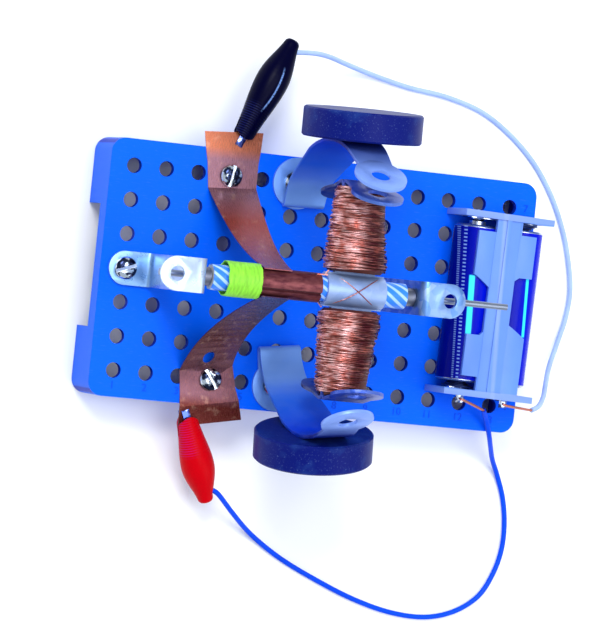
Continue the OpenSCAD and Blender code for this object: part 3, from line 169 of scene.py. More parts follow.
class Finish:
    """A material under construction: one method adds any node, and wires join them."""

    def __init__(self, name, **constants):
        self.material = bpy.data.materials.new(name)
        self.material.use_nodes = True
        self.nodes, self.links = self.material.node_tree.nodes, self.material.node_tree.links
        self.shader = self.nodes["Principled BSDF"]
        for label, value in constants.items():
            self.set(label.replace("_", " ").title().replace("Ior", "IOR"), value)

    def node(self, kind, settings=None, values=None, output=0):
        made = self.nodes.new(kind)
        for label, value in (settings or {}).items():
            setattr(made, label, value)
        for label, value in (values or {}).items():
            self._feed(made.inputs[label], value)
        return Wire(self, made.outputs[output])

    def _feed(self, socket, value):
        if isinstance(value, Wire):
            self.links.new(value.socket, socket)
        elif socket.type == "RGBA" and len(value) == 3:
            socket.default_value = (*value, 1.0)
        else:
            socket.default_value = value

    def set(self, label, value):
        self._feed(self.shader.inputs[label], value)
        return self

    def where(self):
        return self.node("ShaderNodeTexCoord", output="Object")

    def flat(self):
        """The piece's own UV map: along and around a wire, in metres."""
        return self.node("ShaderNodeUVMap", {"uv_map": "flat"})

    def split(self, vector):
        made = self.node("ShaderNodeSeparateXYZ", values={0: vector})
        return [Wire(self, s) for s in made.socket.node.outputs]

    def stretched(self, vector, x, y, z):
        return self.node("ShaderNodeMapping", values={"Vector": vector, "Scale": (x, y, z)})

    def noise(self, vector, grain, detail=3.0, rough=0.55):
        """Noise with features of about grain millimetres."""
        values = {"Vector": vector, "Scale": 1 / (grain * MM), "Detail": detail, "Roughness": rough}
        return self.node("ShaderNodeTexNoise", values=values)

    def cells(self, vector, grain):
        """A colour of its own for each cell of about grain millimetres."""
        values = {"Vector": vector, "Scale": 1 / (grain * MM)}
        return self.node("ShaderNodeTexVoronoi", {"feature": "F1"}, values, "Color")

    def mix(self, factor, a, b):
        made = self.nodes.new("ShaderNodeMix")
        made.data_type = "RGBA"
        colours = [s for s in made.inputs if s.type == "RGBA"]
        for socket, value in zip((made.inputs[0], *colours), (factor, a, b)):
            self._feed(socket, value)
        return Wire(self, next(s for s in made.outputs if s.type == "RGBA"))

    def stops(self, value, unit, *stops):
        """Colour that runs through (position, colour) stops; unit scales the positions."""
        tone = stops[0][1]
        for (low, _), (high, colour_at) in zip(stops, stops[1:]):
            tone = self.mix(value.ramp(low * unit, high * unit), tone, colour_at)
        return tone

    def bump(self, height, depth, strength=1.0, under=None):
        """Bump of depth millimetres; under is a bump that this one is added to."""
        values = {"Height": height, "Distance": depth * MM, "Strength": strength}
        if under:
            values["Normal"] = under
        return self.node("ShaderNodeBump", values=values)

    def paint(self, base, rough=None, normal=None):
        for label, value in (("Base Color", base), ("Roughness", rough), ("Normal", normal)):
            if value is not None:
                self.set(label, value)
        return self.material


def shade(rgb, factor):
    return tuple(min(1.0, c * factor) for c in rgb)


def blend_of(a, b, t):
    return tuple(x + (y - x) * t for x, y in zip(a, b))


def moulded(name, rgb, grain=0.35, depth=0.02, rough=0.38, wear=0.06, **constants):
    """Moulded plastic with a fine skin, faint flow marks and soft scuffs."""
    f = Finish(name, **constants)
    place = f.where()
    flow = f.noise(place, 22, 2)
    skin = f.noise(place, grain, 2)
    scuff = f.noise(f.stretched(place, 1, 7, 1), 3, 5, 0.7).ramp(0.55, 0.8)
    tone = f.mix(flow, shade(rgb, 0.94), shade(rgb, 1.05))
    tone = f.mix(scuff * wear, tone, blend_of(rgb, (1, 1, 1), 0.5))
    return f.paint(tone, skin * 0.12 + scuff * 0.1 + (rough - 0.06), f.bump(skin, depth, 0.4))


def sheet_steel(name, tone_of, grain, contrast=0.1, rough=0.3, metallic=0.75, cloudy=0.2):
    """Zinc-coated steel: crystal spangle, drawing lines across grain, clouds and small dings."""
    f = Finish(name, metallic=metallic, specular_ior_level=0.3)
    place = f.where()
    crystals = f.split(f.cells(place, 2.4))[0]
    lines = f.noise(f.stretched(place, *grain), 0.8, 3)
    cloud = f.noise(place, 8, 4)
    rgb = tone_of(f, place) if callable(tone_of) else tone_of
    tone = f.mix(crystals * contrast, rgb, (0.8, 0.9, 1))
    tone = f.mix(cloud.ramp(0.4, 0.75) * cloudy, tone, (0.03, 0.1, 0.4))
    dings = f.noise(place, 1.6, 2).ramp(0.62, 0.75)
    surface = f.bump(lines, 0.008, 0.4, f.bump(dings, 0.03, 0.3))
    return f.paint(tone, crystals * 0.1 + lines * 0.1 + (rough - 0.08), surface)


def bright_steel(name, rgb, rough=0.18, grain=0.3, **constants):
    """Plated or drawn steel with fine scratches and dull patches."""
    f = Finish(name, metallic=1.0, **constants)
    place = f.where()
    scratches = f.noise(f.stretched(place, 1, 9, 3), grain, 4, 0.7)
    cloud = f.noise(place, 4, 3)
    tone = f.mix(cloud.ramp(0.3, 0.75), rgb, shade(rgb, 0.72))
    return f.paint(tone, scratches * 0.22 + cloud * 0.08 + (rough - 0.08), f.bump(scratches, 0.01, 0.4))


def chrome_painted_reflection(name, dark, light, slot_z=None):
    """Bright plating with a painted reflection of a room in dark and light parts; a painted highlight shines
    on a slot's floor at slot_z.
    """
    f = Finish(name, metallic=1.0)
    place = f.where()
    # painted reflection: dark and light patches of a room are painted into the colour
    room = f.noise(place, 2.4, 2, 0.4).ramp(0.5, 0.56)
    scratches = f.noise(f.stretched(place, 1, 9, 3), 0.3, 4, 0.7)
    tone = f.mix(room, dark, light)
    if slot_z is not None:
        # painted highlight: the slot's floor is painted nearly white
        floor = 1.0 - abs(f.split(place)[2] - slot_z * MM).above(0.06 * MM, 0.02 * MM)
        tone = f.mix(floor, tone, linear(238, 244, 250))
    return f.paint(tone, scratches * 0.15 + 0.08, f.bump(scratches, 0.008, 0.4))


# ---- Mesh making ----


def as_piece(name, mesh, body, material, replaced=()):
    """Links a finished mesh as a piece that rides on a body and stands for CAD nodes."""
    if material is not None:
        mesh.materials.clear()
        mesh.materials.append(material)
    piece = bpy.data.objects.new(name, mesh)
    bpy.context.scene.collection.objects.link(piece)
    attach(piece, body)
    if replaced:
        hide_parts(*replaced)
    return piece


def smooth(mesh, degrees=38):
    """Smooth shading with sharp edges where faces meet at more than the given angle."""
    mesh.shade_smooth()
    mesh.set_sharp_from_angle(angle=math.radians(degrees))
    return mesh


def with_modifiers(mesh, *modifiers):
    """A new mesh with modifiers (kind, settings) applied in order."""
    temporary = bpy.data.objects.new("work", mesh)
    bpy.context.scene.collection.objects.link(temporary)
    for kind, settings in modifiers:
        modifier = temporary.modifiers.new(kind.title(), kind)
        for label, value in settings.items():
            setattr(modifier, label, value)
    bpy.context.view_layer.update()
    result = bpy.data.meshes.new_from_object(temporary.evaluated_get(bpy.context.evaluated_depsgraph_get()))
    bpy.data.objects.remove(temporary)
    return result


def from_bmesh(bm, name, outward=False):
    if outward:
        bmesh.ops.recalc_face_normals(bm, faces=bm.faces)
    mesh = bpy.data.meshes.new(name)
    bm.to_mesh(mesh)
    bm.free()
    return mesh


def bevel_of(width):
    """Modifier that rounds the sharp edges by a width in millimetres."""
    return "BEVEL", {
        "width": width * MM, "segments": 2, "limit_method": "ANGLE", "angle_limit": math.radians(50),
        "use_clamp_overlap": True, "harden_normals": False,
    }


def cad_copy(node):
    """Merged copy of a CAD node's triangles, as a bmesh."""
    bm = bmesh.new()
    bm.from_mesh(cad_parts[node].data)
    bmesh.ops.remove_doubles(bm, verts=bm.verts, dist=0.002 * MM)
    bmesh.ops.dissolve_limit(bm, angle_limit=math.radians(0.3), verts=bm.verts, edges=bm.edges)
    return bm


def dress(node, name, material, body=BASE, edge=0.0, degrees=30):
    """Stands for a CAD node with the same shape: welded, smoothly shaded and with softened edges."""
    mesh = from_bmesh(cad_copy(node), name)
    if edge:
        mesh = with_modifiers(mesh, bevel_of(edge))
    return as_piece(name, smooth(mesh, degrees), body, material, [node])


def spline(points, steps):
    """Smooth curve through points, steps pieces between neighbours."""
    p = [Vector(q) for q in points]
    out = []
    for i in range(len(p) - 1):
        a, b, c, d = p[max(i - 1, 0)], p[i], p[i + 1], p[min(i + 2, len(p) - 1)]
        for k in range(steps):
            t = k / steps
            out.append(b + (c - a) * t / 2 + (a - 2.5 * b + 2 * c - d / 2) * t * t
                       + ((d - a) / 2 + 1.5 * (b - c)) * t ** 3)
    return out + [p[-1]]


def tube_mesh(name, path, radius, sides):
    """Closed round tube along a path of Vectors in millimetres, with its length and turns as UV."""
    bm = bmesh.new()
    layer = bm.loops.layers.uv.new("flat")
    count = len(path)
    tangents = [(path[min(i + 1, count - 1)] - path[max(i - 1, 0)]).normalized() for i in range(count)]
    side = tangents[0].orthogonal().normalized()
    rings, lengths = [], [0.0]
    for i, centre in enumerate(path):
        t = tangents[i]
        side = (side - side.dot(t) * t).normalized()
        other = t.cross(side)
        rings.append([bm.verts.new(centre + radius * (math.cos(a) * side + math.sin(a) * other))
                      for a in (math.tau * k / sides for k in range(sides))])
        if i:
            lengths.append(lengths[-1] + (centre - path[i - 1]).length)
    for i in range(count - 1):
        low, high = rings[i], rings[i + 1]
        run = (lengths[i], lengths[i], lengths[i + 1], lengths[i + 1])
        for k in range(sides):
            after = (k + 1) % sides
            face = bm.faces.new((low[k], low[after], high[after], high[k]))
            turns = (k / sides, (k + 1) / sides, (k + 1) / sides, k / sides)
            for loop, u, v in zip(face.loops, run, turns):
                loop[layer].uv = (u * MM, v)
    bm.faces.new(rings[0][::-1])
    bm.faces.new(rings[-1])
    bmesh.ops.scale(bm, vec=(MM, MM, MM), verts=bm.verts)
    return smooth(from_bmesh(bm, name, outward=True), 50)


def joined(name, meshes):
    """One mesh from several."""
    bm = bmesh.new()
    for mesh in meshes:
        bm.from_mesh(mesh)
    return from_bmesh(bm, name)


# ---- Geometry nodes ----


class Tree:
    """A geometry node tree with named inputs, built one node at a time."""

    def __init__(self, name, **inputs):
        self.tree = bpy.data.node_groups.new(name, "GeometryNodeTree")
        face = self.tree.interface
        face.new_socket("Geometry", in_out="INPUT", socket_type="NodeSocketGeometry")
        kinds = {float: "NodeSocketFloat", int: "NodeSocketInt", bpy.types.Material: "NodeSocketMaterial"}
        self.identifiers = {}
        for label, value in inputs.items():
            kind = next(k for t, k in kinds.items() if isinstance(value, t))
            self.identifiers[label] = face.new_socket(label, in_out="INPUT", socket_type=kind).identifier
        face.new_socket("Geometry", in_out="OUTPUT", socket_type="NodeSocketGeometry")
        self.values = inputs
        self.source = self.tree.nodes.new("NodeGroupInput")
        self.end = self.tree.nodes.new("NodeGroupOutput")

    def input(self, label):
        return self.source.outputs[label]

    def node(self, kind, settings=None, values=None, output=0):
        made = self.tree.nodes.new(kind)
        for label, value in (settings or {}).items():
            setattr(made, label, value)
        for label, value in (values or {}).items():
            if isinstance(value, bpy.types.NodeSocket):
                self.tree.links.new(value, made.inputs[label])
            else:
                made.inputs[label].default_value = value
        return made.outputs[output]

    def finish(self, geometry):
        """Realizes instances, sets the material and makes the tree's output."""
        real = self.node("GeometryNodeRealizeInstances", values={0: geometry})
        values = {"Geometry": real, "Material": self.input("Material")}
        painted = self.node("GeometryNodeSetMaterial", values=values)
        self.tree.links.new(painted, self.end.inputs[0])

    def run(self, mesh):
        """The plain mesh that the tree makes from mesh."""
        holder = bpy.data.objects.new("work", mesh)
        bpy.context.scene.collection.objects.link(holder)
        modifier = holder.modifiers.new("Nodes", "NODES")
        modifier.node_group = self.tree
        for label, value in self.values.items():
            modifier[self.identifiers[label]] = value
        bpy.context.view_layer.update()
        result = bpy.data.meshes.new_from_object(holder.evaluated_get(bpy.context.evaluated_depsgraph_get()))
        holder.modifiers.clear()
        bpy.data.objects.remove(holder)
        return result


def motor_sizes():
    return bpy.context.scene.motor_sizes


def motor_colours():
    return bpy.context.scene.motor_colours


# ---- Stage ----


class MOTOR_OT_stage(bpy.types.Operator):
    """Sets the pale floor, the soft lights and the photograph's camera"""

    bl_idname = "motor.stage"
    bl_label = "Stage"

    def execute(self, context):
        scene = context.scene
        camera = bpy.data.objects.new("camera", bpy.data.cameras.new("camera"))
        scene.collection.objects.link(camera)
        camera.data.sensor_fit = "AUTO"
        camera.data.sensor_width = 36.0
        camera.data.lens = FOCAL_PIXELS / IMAGE_HEIGHT * 36.0
        camera.data.clip_start, camera.data.clip_end = 0.05, 20
        axes = Matrix((CAMERA_RIGHT, -Vector(CAMERA_DOWN), -Vector(CAMERA_FORWARD))).transposed().to_4x4()
        camera.matrix_world = Matrix.Translation(CAMERA_PLACE) @ axes
        scene.camera = camera
        floor = bpy.data.meshes.new("floor")
        corners = [(x, y, BOARD_BOTTOM - 0.0002) for x, y in ((-4, -4), (4, -4), (4, 4), (-4, 4))]
        floor.from_pydata(corners, [], [(0, 1, 2, 3)])
        white = Finish("pale floor", roughness=0.9, specular_ior_level=0.1)
        place = white.where()
        tone = white.mix(white.noise(place, 60, 2), (0.955, 0.96, 0.965), (0.97, 0.972, 0.975))
        floor.materials.append(white.paint(tone))
        ground = bpy.data.objects.new("floor", floor)
        scene.collection.objects.link(ground)
        world = bpy.data.worlds.new("soft room")
        world.use_nodes = True
        world.node_tree.nodes["Background"].inputs["Color"].default_value = (0.86, 0.92, 1.0, 1)
        world.node_tree.nodes["Background"].inputs["Strength"].default_value = 0.62
        scene.world = world
        for name, place, target, span, power in (
            ("key", (-0.55, 0.75, 1.3), (0, 0, 0), 0.5, 14.0),
            ("fill", (0.9, -0.5, 1.0), (0, 0, 0), 0.9, 5.0),
            ("top", (0.1, 0.1, 1.7), (0, 0, 0), 1.0, 13.0),
        ):
            lamp = bpy.data.lights.new(name, "AREA")
            lamp.size, lamp.energy, lamp.color = span, power, (0.95, 0.97, 1.0)
            light = bpy.data.objects.new(name, lamp)
            light.location = place
            light.rotation_euler = (Vector(target) - Vector(place)).to_track_quat("-Z", "Y").to_euler()
            scene.collection.objects.link(light)
        scene.view_settings.view_transform = "Standard"
        scene.view_settings.look = "None"
        return {"FINISHED"}


# ---- Leads ----

# Routes of the leads in millimetres, as in the CAD
WHITE_ROUTE = [(73.5, -31.5, 9.5), (77, -30, 7), (80.5, -27, 2), (84, -23, -5), (87.5, -17.5, -11.5),
               (91, -10, -15), (93.5, -1, -15.7), (94, 8, -15.7), (92, 18, -15.7), (89, 27, -15.7),
               (84, 37, -15.7), (77, 46.5, -15.7), (68, 54.5, -15.7), (57, 61, -15.7), (44, 64.5, -15.7),
               (31, 66, -15.7), (18, 68.5, -14.5), (8, 70.5, -11), (0, 72, -6.5), (-6.5, 72.4, -2.6)]
BLUE_ROUTE = [(58.5, -33, 6.5), (60.5, -35.5, 4), (62.5, -38.5, 2), (64.5, -41.5, -0.5),
              (67.5, -45, -5.5), (71, -49, -11), (75, -54, -15), (78, -61, -15.7),
              (79.5, -69, -15.7), (79.5, -77, -15.7), (77.5, -85, -15.7), (73, -93, -15.7),
              (65, -98.5, -15.7), (55, -101, -15.7), (43, -100.3, -15.7), (30, -97, -15.7),
              (17, -92, -15.7), (4, -86, -15.7), (-7, -79.3, -14.2), (-16, -73, -8)]

# How the clips sit, rear and front: turns in degrees, lengths in millimetres
FOOT_TURN = (-4.0, 10.5)
CLIP_TURN = (27.3, 12.2)
TAB_TILT = (0.0, -8.0)
CREASE_LIFT = (0.0, 0.6)
GRIP = ((1.9, 1.8), (-9.1, 1.0))
CLIP_LENGTH = (37.5, 30.6)
HOLE_TURN = (8.0, 20.0)
BRUSH_AT = (-31.5, 31.5)
FOOT_OUT = 7.6


def clip_place(k):
    """Clip frame of the rear (0) or front (1) clip: +Y from tip to tail, in millimetres."""
    half_foil = motor_sizes().foil_t / 2
    place = (Matrix.Translation((*BRUSH_AT, 0)) @ Matrix.Rotation(math.radians(-FOOT_TURN[k]), 4, "Z")
             @ Matrix.Translation((0, FOOT_OUT, half_foil + CREASE_LIFT[k]))
             @ Matrix.Rotation(math.radians(TAB_TILT[k]), 4, "X")
             @ Matrix.Translation((*GRIP[k], 0)) @ Matrix.Rotation(math.radians(-CLIP_TURN[k]), 4, "Z"))
    return Matrix.Diagonal((1, -1 if k else 1, 1, 1)) @ place


def clip_entry(k):
    """Last stretch of a lead, through the boot's side hole to the crimp."""
    end, turn = CLIP_LENGTH[k], math.radians(HOLE_TURN[k])
    bends = (((3.6, -2.3, 0), (1, -3.8, 0.1), (0, -6.8, 0.4), (0, -10, 0.75)),
             ((4.4, -1.4, 1), (2, -3.7, 0.6), (0.5, -5.8, 0.6)))[k]
    points = [(out * math.cos(turn), end + y, out * math.sin(turn) - drop) for out, y, drop in bends]
    return [clip_place(k) @ Vector(p) for p in [*points, (0, 22.6, -0.75), (0, 21, -0.75)]]


def lead_finish(name, rgb):
    """Soft glossy insulation with faint handling marks along the wire."""
    f = Finish(name, specular_ior_level=0.1)
    place = f.where()
    patch = f.noise(place, 6, 3)
    ripple = f.noise(f.stretched(f.flat(), 1, 0.0004, 1), 1.2, 3)
    tone = f.mix(patch.ramp(0.3, 0.7), shade(rgb, 0.88), shade(rgb, 1.06))
    return f.paint(tone, patch * 0.15 + 0.3, f.bump(ripple, 0.03, 0.5))


class MOTOR_OT_leads(bpy.types.Operator):
    """Lays the two insulated leads"""

    bl_idname = "motor.leads"
    bl_label = "Leads"

    def execute(self, context):
        colours = motor_colours()
        radius = motor_sizes().lead_d / 2
        jobs = (("white_lead", WHITE_ROUTE, 0, colours.white_lead, "black", "white_insulation"),
                ("blue_lead", BLUE_ROUTE, 1, colours.blue_lead, "red", "blue_insulation"))
        for node, route, k, rgb, clip, slot in jobs:
            path = spline([*route, *clip_entry(k)], 5)
            material = lead_finish(node.replace("_", " "), tuple(rgb))
            mesh = tube_mesh(node, path, radius, 12)
            piece = as_piece(f"{node}_wire", mesh, BASE, material, [node])
            length = sum((b - a).length for a, b in zip(path, path[1:])) * MM
            [p * MM for p in path]
        return {"FINISHED"}


# ---- Board ----


def board_plastic(rgb):
    """Blue moulded board: bright top, a skirt painted paler as painted light, and painted shade that darkens
    the hole walls and underside.
    """
    f = Finish("board plastic", specular_ior_level=0.05)
    place = f.where()
    x, y, z = f.split(place)
    skin, flow = f.noise(place, 0.4, 2), f.noise(place, 24, 2)
    scuff = f.noise(f.stretched(place, 1, 6, 1), 3, 5, 0.7).ramp(0.55, 0.8)
    tone = f.mix(flow, shade(rgb, 0.92), shade(rgb, 1.06))
    # painted shade: the hole walls and the underside within the skirt are painted dark navy
    inner = abs(x - BOARD_X * MM).above(BOARD_HALF_X * MM, 0.2 * MM)
    painted_shade_inside = (1.0 - inner) * (1.0 - abs(y).above(BOARD_HALF_Y * MM, 0.2 * MM))
    painted_shade_inside = painted_shade_inside * (1.0 - z.above(-0.35 * MM, 0.3 * MM))
    tone = f.mix(painted_shade_inside * 0.8, tone, linear(0, 4, 150))
    # painted light: the outer faces of the skirt are painted paler
    skirt = (1.0 - z.above(-0.6 * MM, 0.5 * MM)) * (1.0 - painted_shade_inside)
    tone = f.mix(skirt * 0.5, tone, linear(36, 104, 220))
    tone = f.mix(z.above(0.03 * MM, 0.02 * MM) * 0.5, tone, linear(0, 50, 200))
    tone = f.mix(scuff * 0.05, tone, (0.5, 0.7, 1))
    return f.paint(tone, skin * 0.14 + scuff * 0.12 + 0.3, f.bump(skin, 0.02, 0.4))


def number_mesh(text, height, place):
    """Raised numerals on the board's top, as a plain mesh."""
    curve = bpy.data.curves.new("number", "FONT")
    curve.body, curve.size, curve.extrude, curve.resolution_u = text, height * MM, 0.1 * MM, 3
    curve.align_x, curve.align_y = "CENTER", "CENTER"
    holder = bpy.data.objects.new("number", curve)
    bpy.context.scene.collection.objects.link(holder)
    bpy.context.view_layer.update()
    mesh = bpy.data.meshes.new_from_object(holder.evaluated_get(bpy.context.evaluated_depsgraph_get()))
    bpy.data.objects.remove(holder)
    mesh.transform(Matrix.Translation(Vector(place) * MM))
    return mesh


class MOTOR_OT_board(bpy.types.Operator):
    """Finishes the moulded board and its raised numbers"""

    bl_idname = "motor.board"
    bl_label = "Board"

    def execute(self, context):
        sizes, colours = motor_sizes(), motor_colours()
        material = board_plastic(tuple(colours.board))
        bm = cad_copy("base_board")
        body = smooth(from_bmesh(bm, "board"), 30)
        numbers = [number_mesh(str(i + 1), sizes.number_height, ((i - 6) * sizes.hole_pitch, -36.1, 0.06))
                   for i in range(13)]
        numbers += [number_mesh(str(j + 1), sizes.number_height, (68.6, (j - 3) * sizes.hole_pitch, 0.06))
                    for j in (0, 6)]
        as_piece("board", joined("board", [body, *numbers]), BASE, material, ["base_board"])
        return {"FINISHED"}


# ---- Steel ----


def painted_shade_by_height(low, high, at_low, at_high):
    """Colour that changes with the height over the board, from at_low to at_high in millimetres; used as
    painted shade that darkens a bracket's foot.
    """
    def tone(f, place):
        return f.mix(f.split(place)[2].ramp(low * MM, high * MM), at_low, at_high)
    return tone


class MOTOR_OT_bearings(bpy.types.Operator):
    """Finishes the bearing brackets and bushes"""

    bl_idname = "motor.bearings"
    bl_label = "Bearings"

    def execute(self, context):
        steel = tuple(motor_colours().steel)
        # painted shade: the left bracket is painted darker low down at its foot than on its upright
        left = sheet_steel("zinc steel", painted_shade_by_height(2, 12, linear(134, 178, 226), steel), (1, 1, 5), rough=0.3)
        # painted shade: the right bracket gets a darker copy of the same zinc steel
        right = sheet_steel("zinc steel right", linear(96, 140, 206), (1, 1, 5), contrast=0.25, rough=0.4)
        edge = motor_sizes().edge
        dress("left_bearing_bracket", "left_bracket", left, edge=edge)
        dress("right_bearing_bracket", "right_bracket", right, edge=edge)
        for side in ("left", "right"):
            metal = bright_steel(f"{side} bush", linear(120, 124, 140), 0.35)
            dress(f"{side}_bush", f"{side}_bush_part", metal)
        return {"FINISHED"}


class MOTOR_OT_fasteners(bpy.types.Operator):
    """Finishes the slotted screws and the nuts"""

    bl_idname = "motor.fasteners"
    bl_label = "Screws and nuts"

    def execute(self, context):
        nut = bright_steel("nut steel", linear(170, 178, 195), 0.3)
        for kind, under in (("bearing", 1.22), ("strap", 1.02), ("brush", 0.3)):
            # painted reflection in dark and light tones, with a painted highlight on the slot floor
            plated = chrome_painted_reflection(f"{kind} screw steel", linear(38, 46, 74), linear(214, 226, 238), under + 1.2)
            dress(f"{kind}_screws", f"{kind}_screw_set", plated)
            dress(f"{kind}_nuts", f"{kind}_nut_set", nut, edge=0.2)
        return {"FINISHED"}


# ---- Rotor ----


def around(f, place):
    """Position along the axle and angle around it, both as wires; the angle in turns."""
    x, y, z = f.split(place)
    angle = f.node("ShaderNodeMath", {"operation": "ARCTAN2"}, {0: y, 1: z - AXLE_Z * MM}) / math.tau
    return x, angle


def straw_finish():
    f = Finish("straw plastic", specular_ior_level=0.3)
    x, angle = around(f, f.where())
    stripe = (abs(((x / (4.2 * MM) + angle * 8.0) % 1.0) - 0.5)).ramp(0.14, 0.22)
    patch = f.noise(f.where(), 5, 3)
    tone = f.mix(patch, linear(132, 184, 246), linear(196, 222, 255))
    tone = f.mix(stripe * 0.92, tone, linear(0, 118, 250))
    # painted shade: the straw is painted dark brown where it lies under the commutator
    under = (x + 36.2 * MM).above(0, 0.1 * MM) * (1.0 - (x + 15.9 * MM).above(0, 0.1 * MM))
    tone = f.mix(under, tone, linear(70, 26, 34))
    return f.paint(tone, patch * 0.1 + 0.22, f.bump(patch, 0.02, 0.3))


def copper_painted_light_and_shade(name, rgb, dark):
    """Enamelled copper with painted shade darker towards +X, dark streaks that are partly wire-to-wire tone
    and partly painted shade between wires, pale pink patches of painted highlight, and fine changes from wire
    to wire.
    """
    f = Finish(name, metallic=0.6, specular_ior_level=0.3)
    place = f.where()
    x, y, z = f.split(place)
    streak = f.noise(f.stretched(place, 0.22, 1.6, 0.22), 1.3, 4, 0.65)
    patch = f.noise(place, 2.6, 3)
    # painted shade: the +X side is painted towards the dark tone
    side = (x + streak * 7 * MM).ramp(-4.5 * MM, -0.5 * MM)
    # painted highlight: pale pink patches on the lit tone
    light = f.mix(patch.ramp(0.35, 0.6), linear(214, 118, 104), linear(255, 206, 204))
    # dark streaks along the wires: wire-to-wire tone and painted shade between wires
    tone = f.mix(streak.ramp(0.4, 0.56), shade(rgb, 0.4), light)
    tone = f.mix(side * 0.92, tone, f.mix(streak.ramp(0.5, 0.62), dark, shade(rgb, 0.45)))
    return f.paint(tone, patch * 0.2 + 0.25, f.bump(streak, 0.03, 0.4))


def wound(name, paths, radius, material, sides=5):
    """Wires of one radius along paths in millimetres, made by a geometry node tree."""
    lines = bpy.data.meshes.new(name)
    points, edges = [], []
    for path in paths:
        edges += [(len(points) + i, len(points) + i + 1) for i in range(len(path) - 1)]
        points += [Vector(p) * MM for p in path]
    lines.from_pydata(points, edges, [])
    tree = Tree(name, Radius=radius * MM, Sides=sides, Material=material)
    curve = tree.node("GeometryNodeMeshToCurve", values={0: tree.input("Geometry")})
    circle = tree.node("GeometryNodeCurvePrimitiveCircle",
                       values={"Resolution": tree.input("Sides"), "Radius": tree.input("Radius")})
    values = {"Curve": curve, "Profile Curve": circle, "Fill Caps": True}
    tree.finish(tree.node("GeometryNodeCurveToMesh", values=values))
    mesh = tree.run(lines)
    mesh.shade_smooth()
    return mesh


COIL_START, COIL_END, COIL_INNER, COIL_OUTER = 6.2, 31.4, 10.2, 7.7


def winding_paths(seed):
    """Layers of wire around a coil on the +Y side: even turns below, loose crossing turns on top."""
    rng = random.Random(seed)
    paths = []
    for layer, (depth, pitch, loose) in enumerate(((1.0, 0.5, 0.05), (0.6, 0.6, 0.7), (0.35, 0.95, 1.5))):
        turns = int((COIL_END - COIL_START - 0.6) / pitch)
        offsets = [rng.uniform(-loose, loose) for _ in range(turns + 3)]
        tilt = [rng.uniform(-loose, loose) * 1.6 for _ in range(turns + 3)]
        lift = [rng.uniform(-0.1, 0.14) for _ in range(turns + 3)]
        path = []
        for i in range(turns * 22 + 1):
            t = i / 22
            k = int(t)
            u = t - k
            run = COIL_START + 0.3 + t * pitch + offsets[k] + (offsets[k + 1] - offsets[k]) * u
            run += (tilt[k] * (1 - u) + tilt[k + 1] * u) * math.cos(math.tau * u + layer)
            run = min(COIL_END - 0.3, max(COIL_START + 0.3, run))
            share = (run - COIL_START) / (COIL_END - COIL_START)
            radius = COIL_INNER + (COIL_OUTER - COIL_INNER) * share - depth
            radius += (lift[k] * (1 - u) + lift[k + 1] * u) * (0.4 + 0.8 * layer / 2)
            radius += rng.uniform(-0.06, 0.06)
            end = min(share, 1 - share) * 12
            radius -= max(0.0, 1 - end) ** 2 * 0.8
            angle = math.tau * u * (1 if layer != 1 else -1)
            path.append((ROTOR_X - 0.9 * share + radius * math.cos(angle), run,
                         AXLE_Z + radius * math.sin(angle)))
        paths.append(path)
    return paths


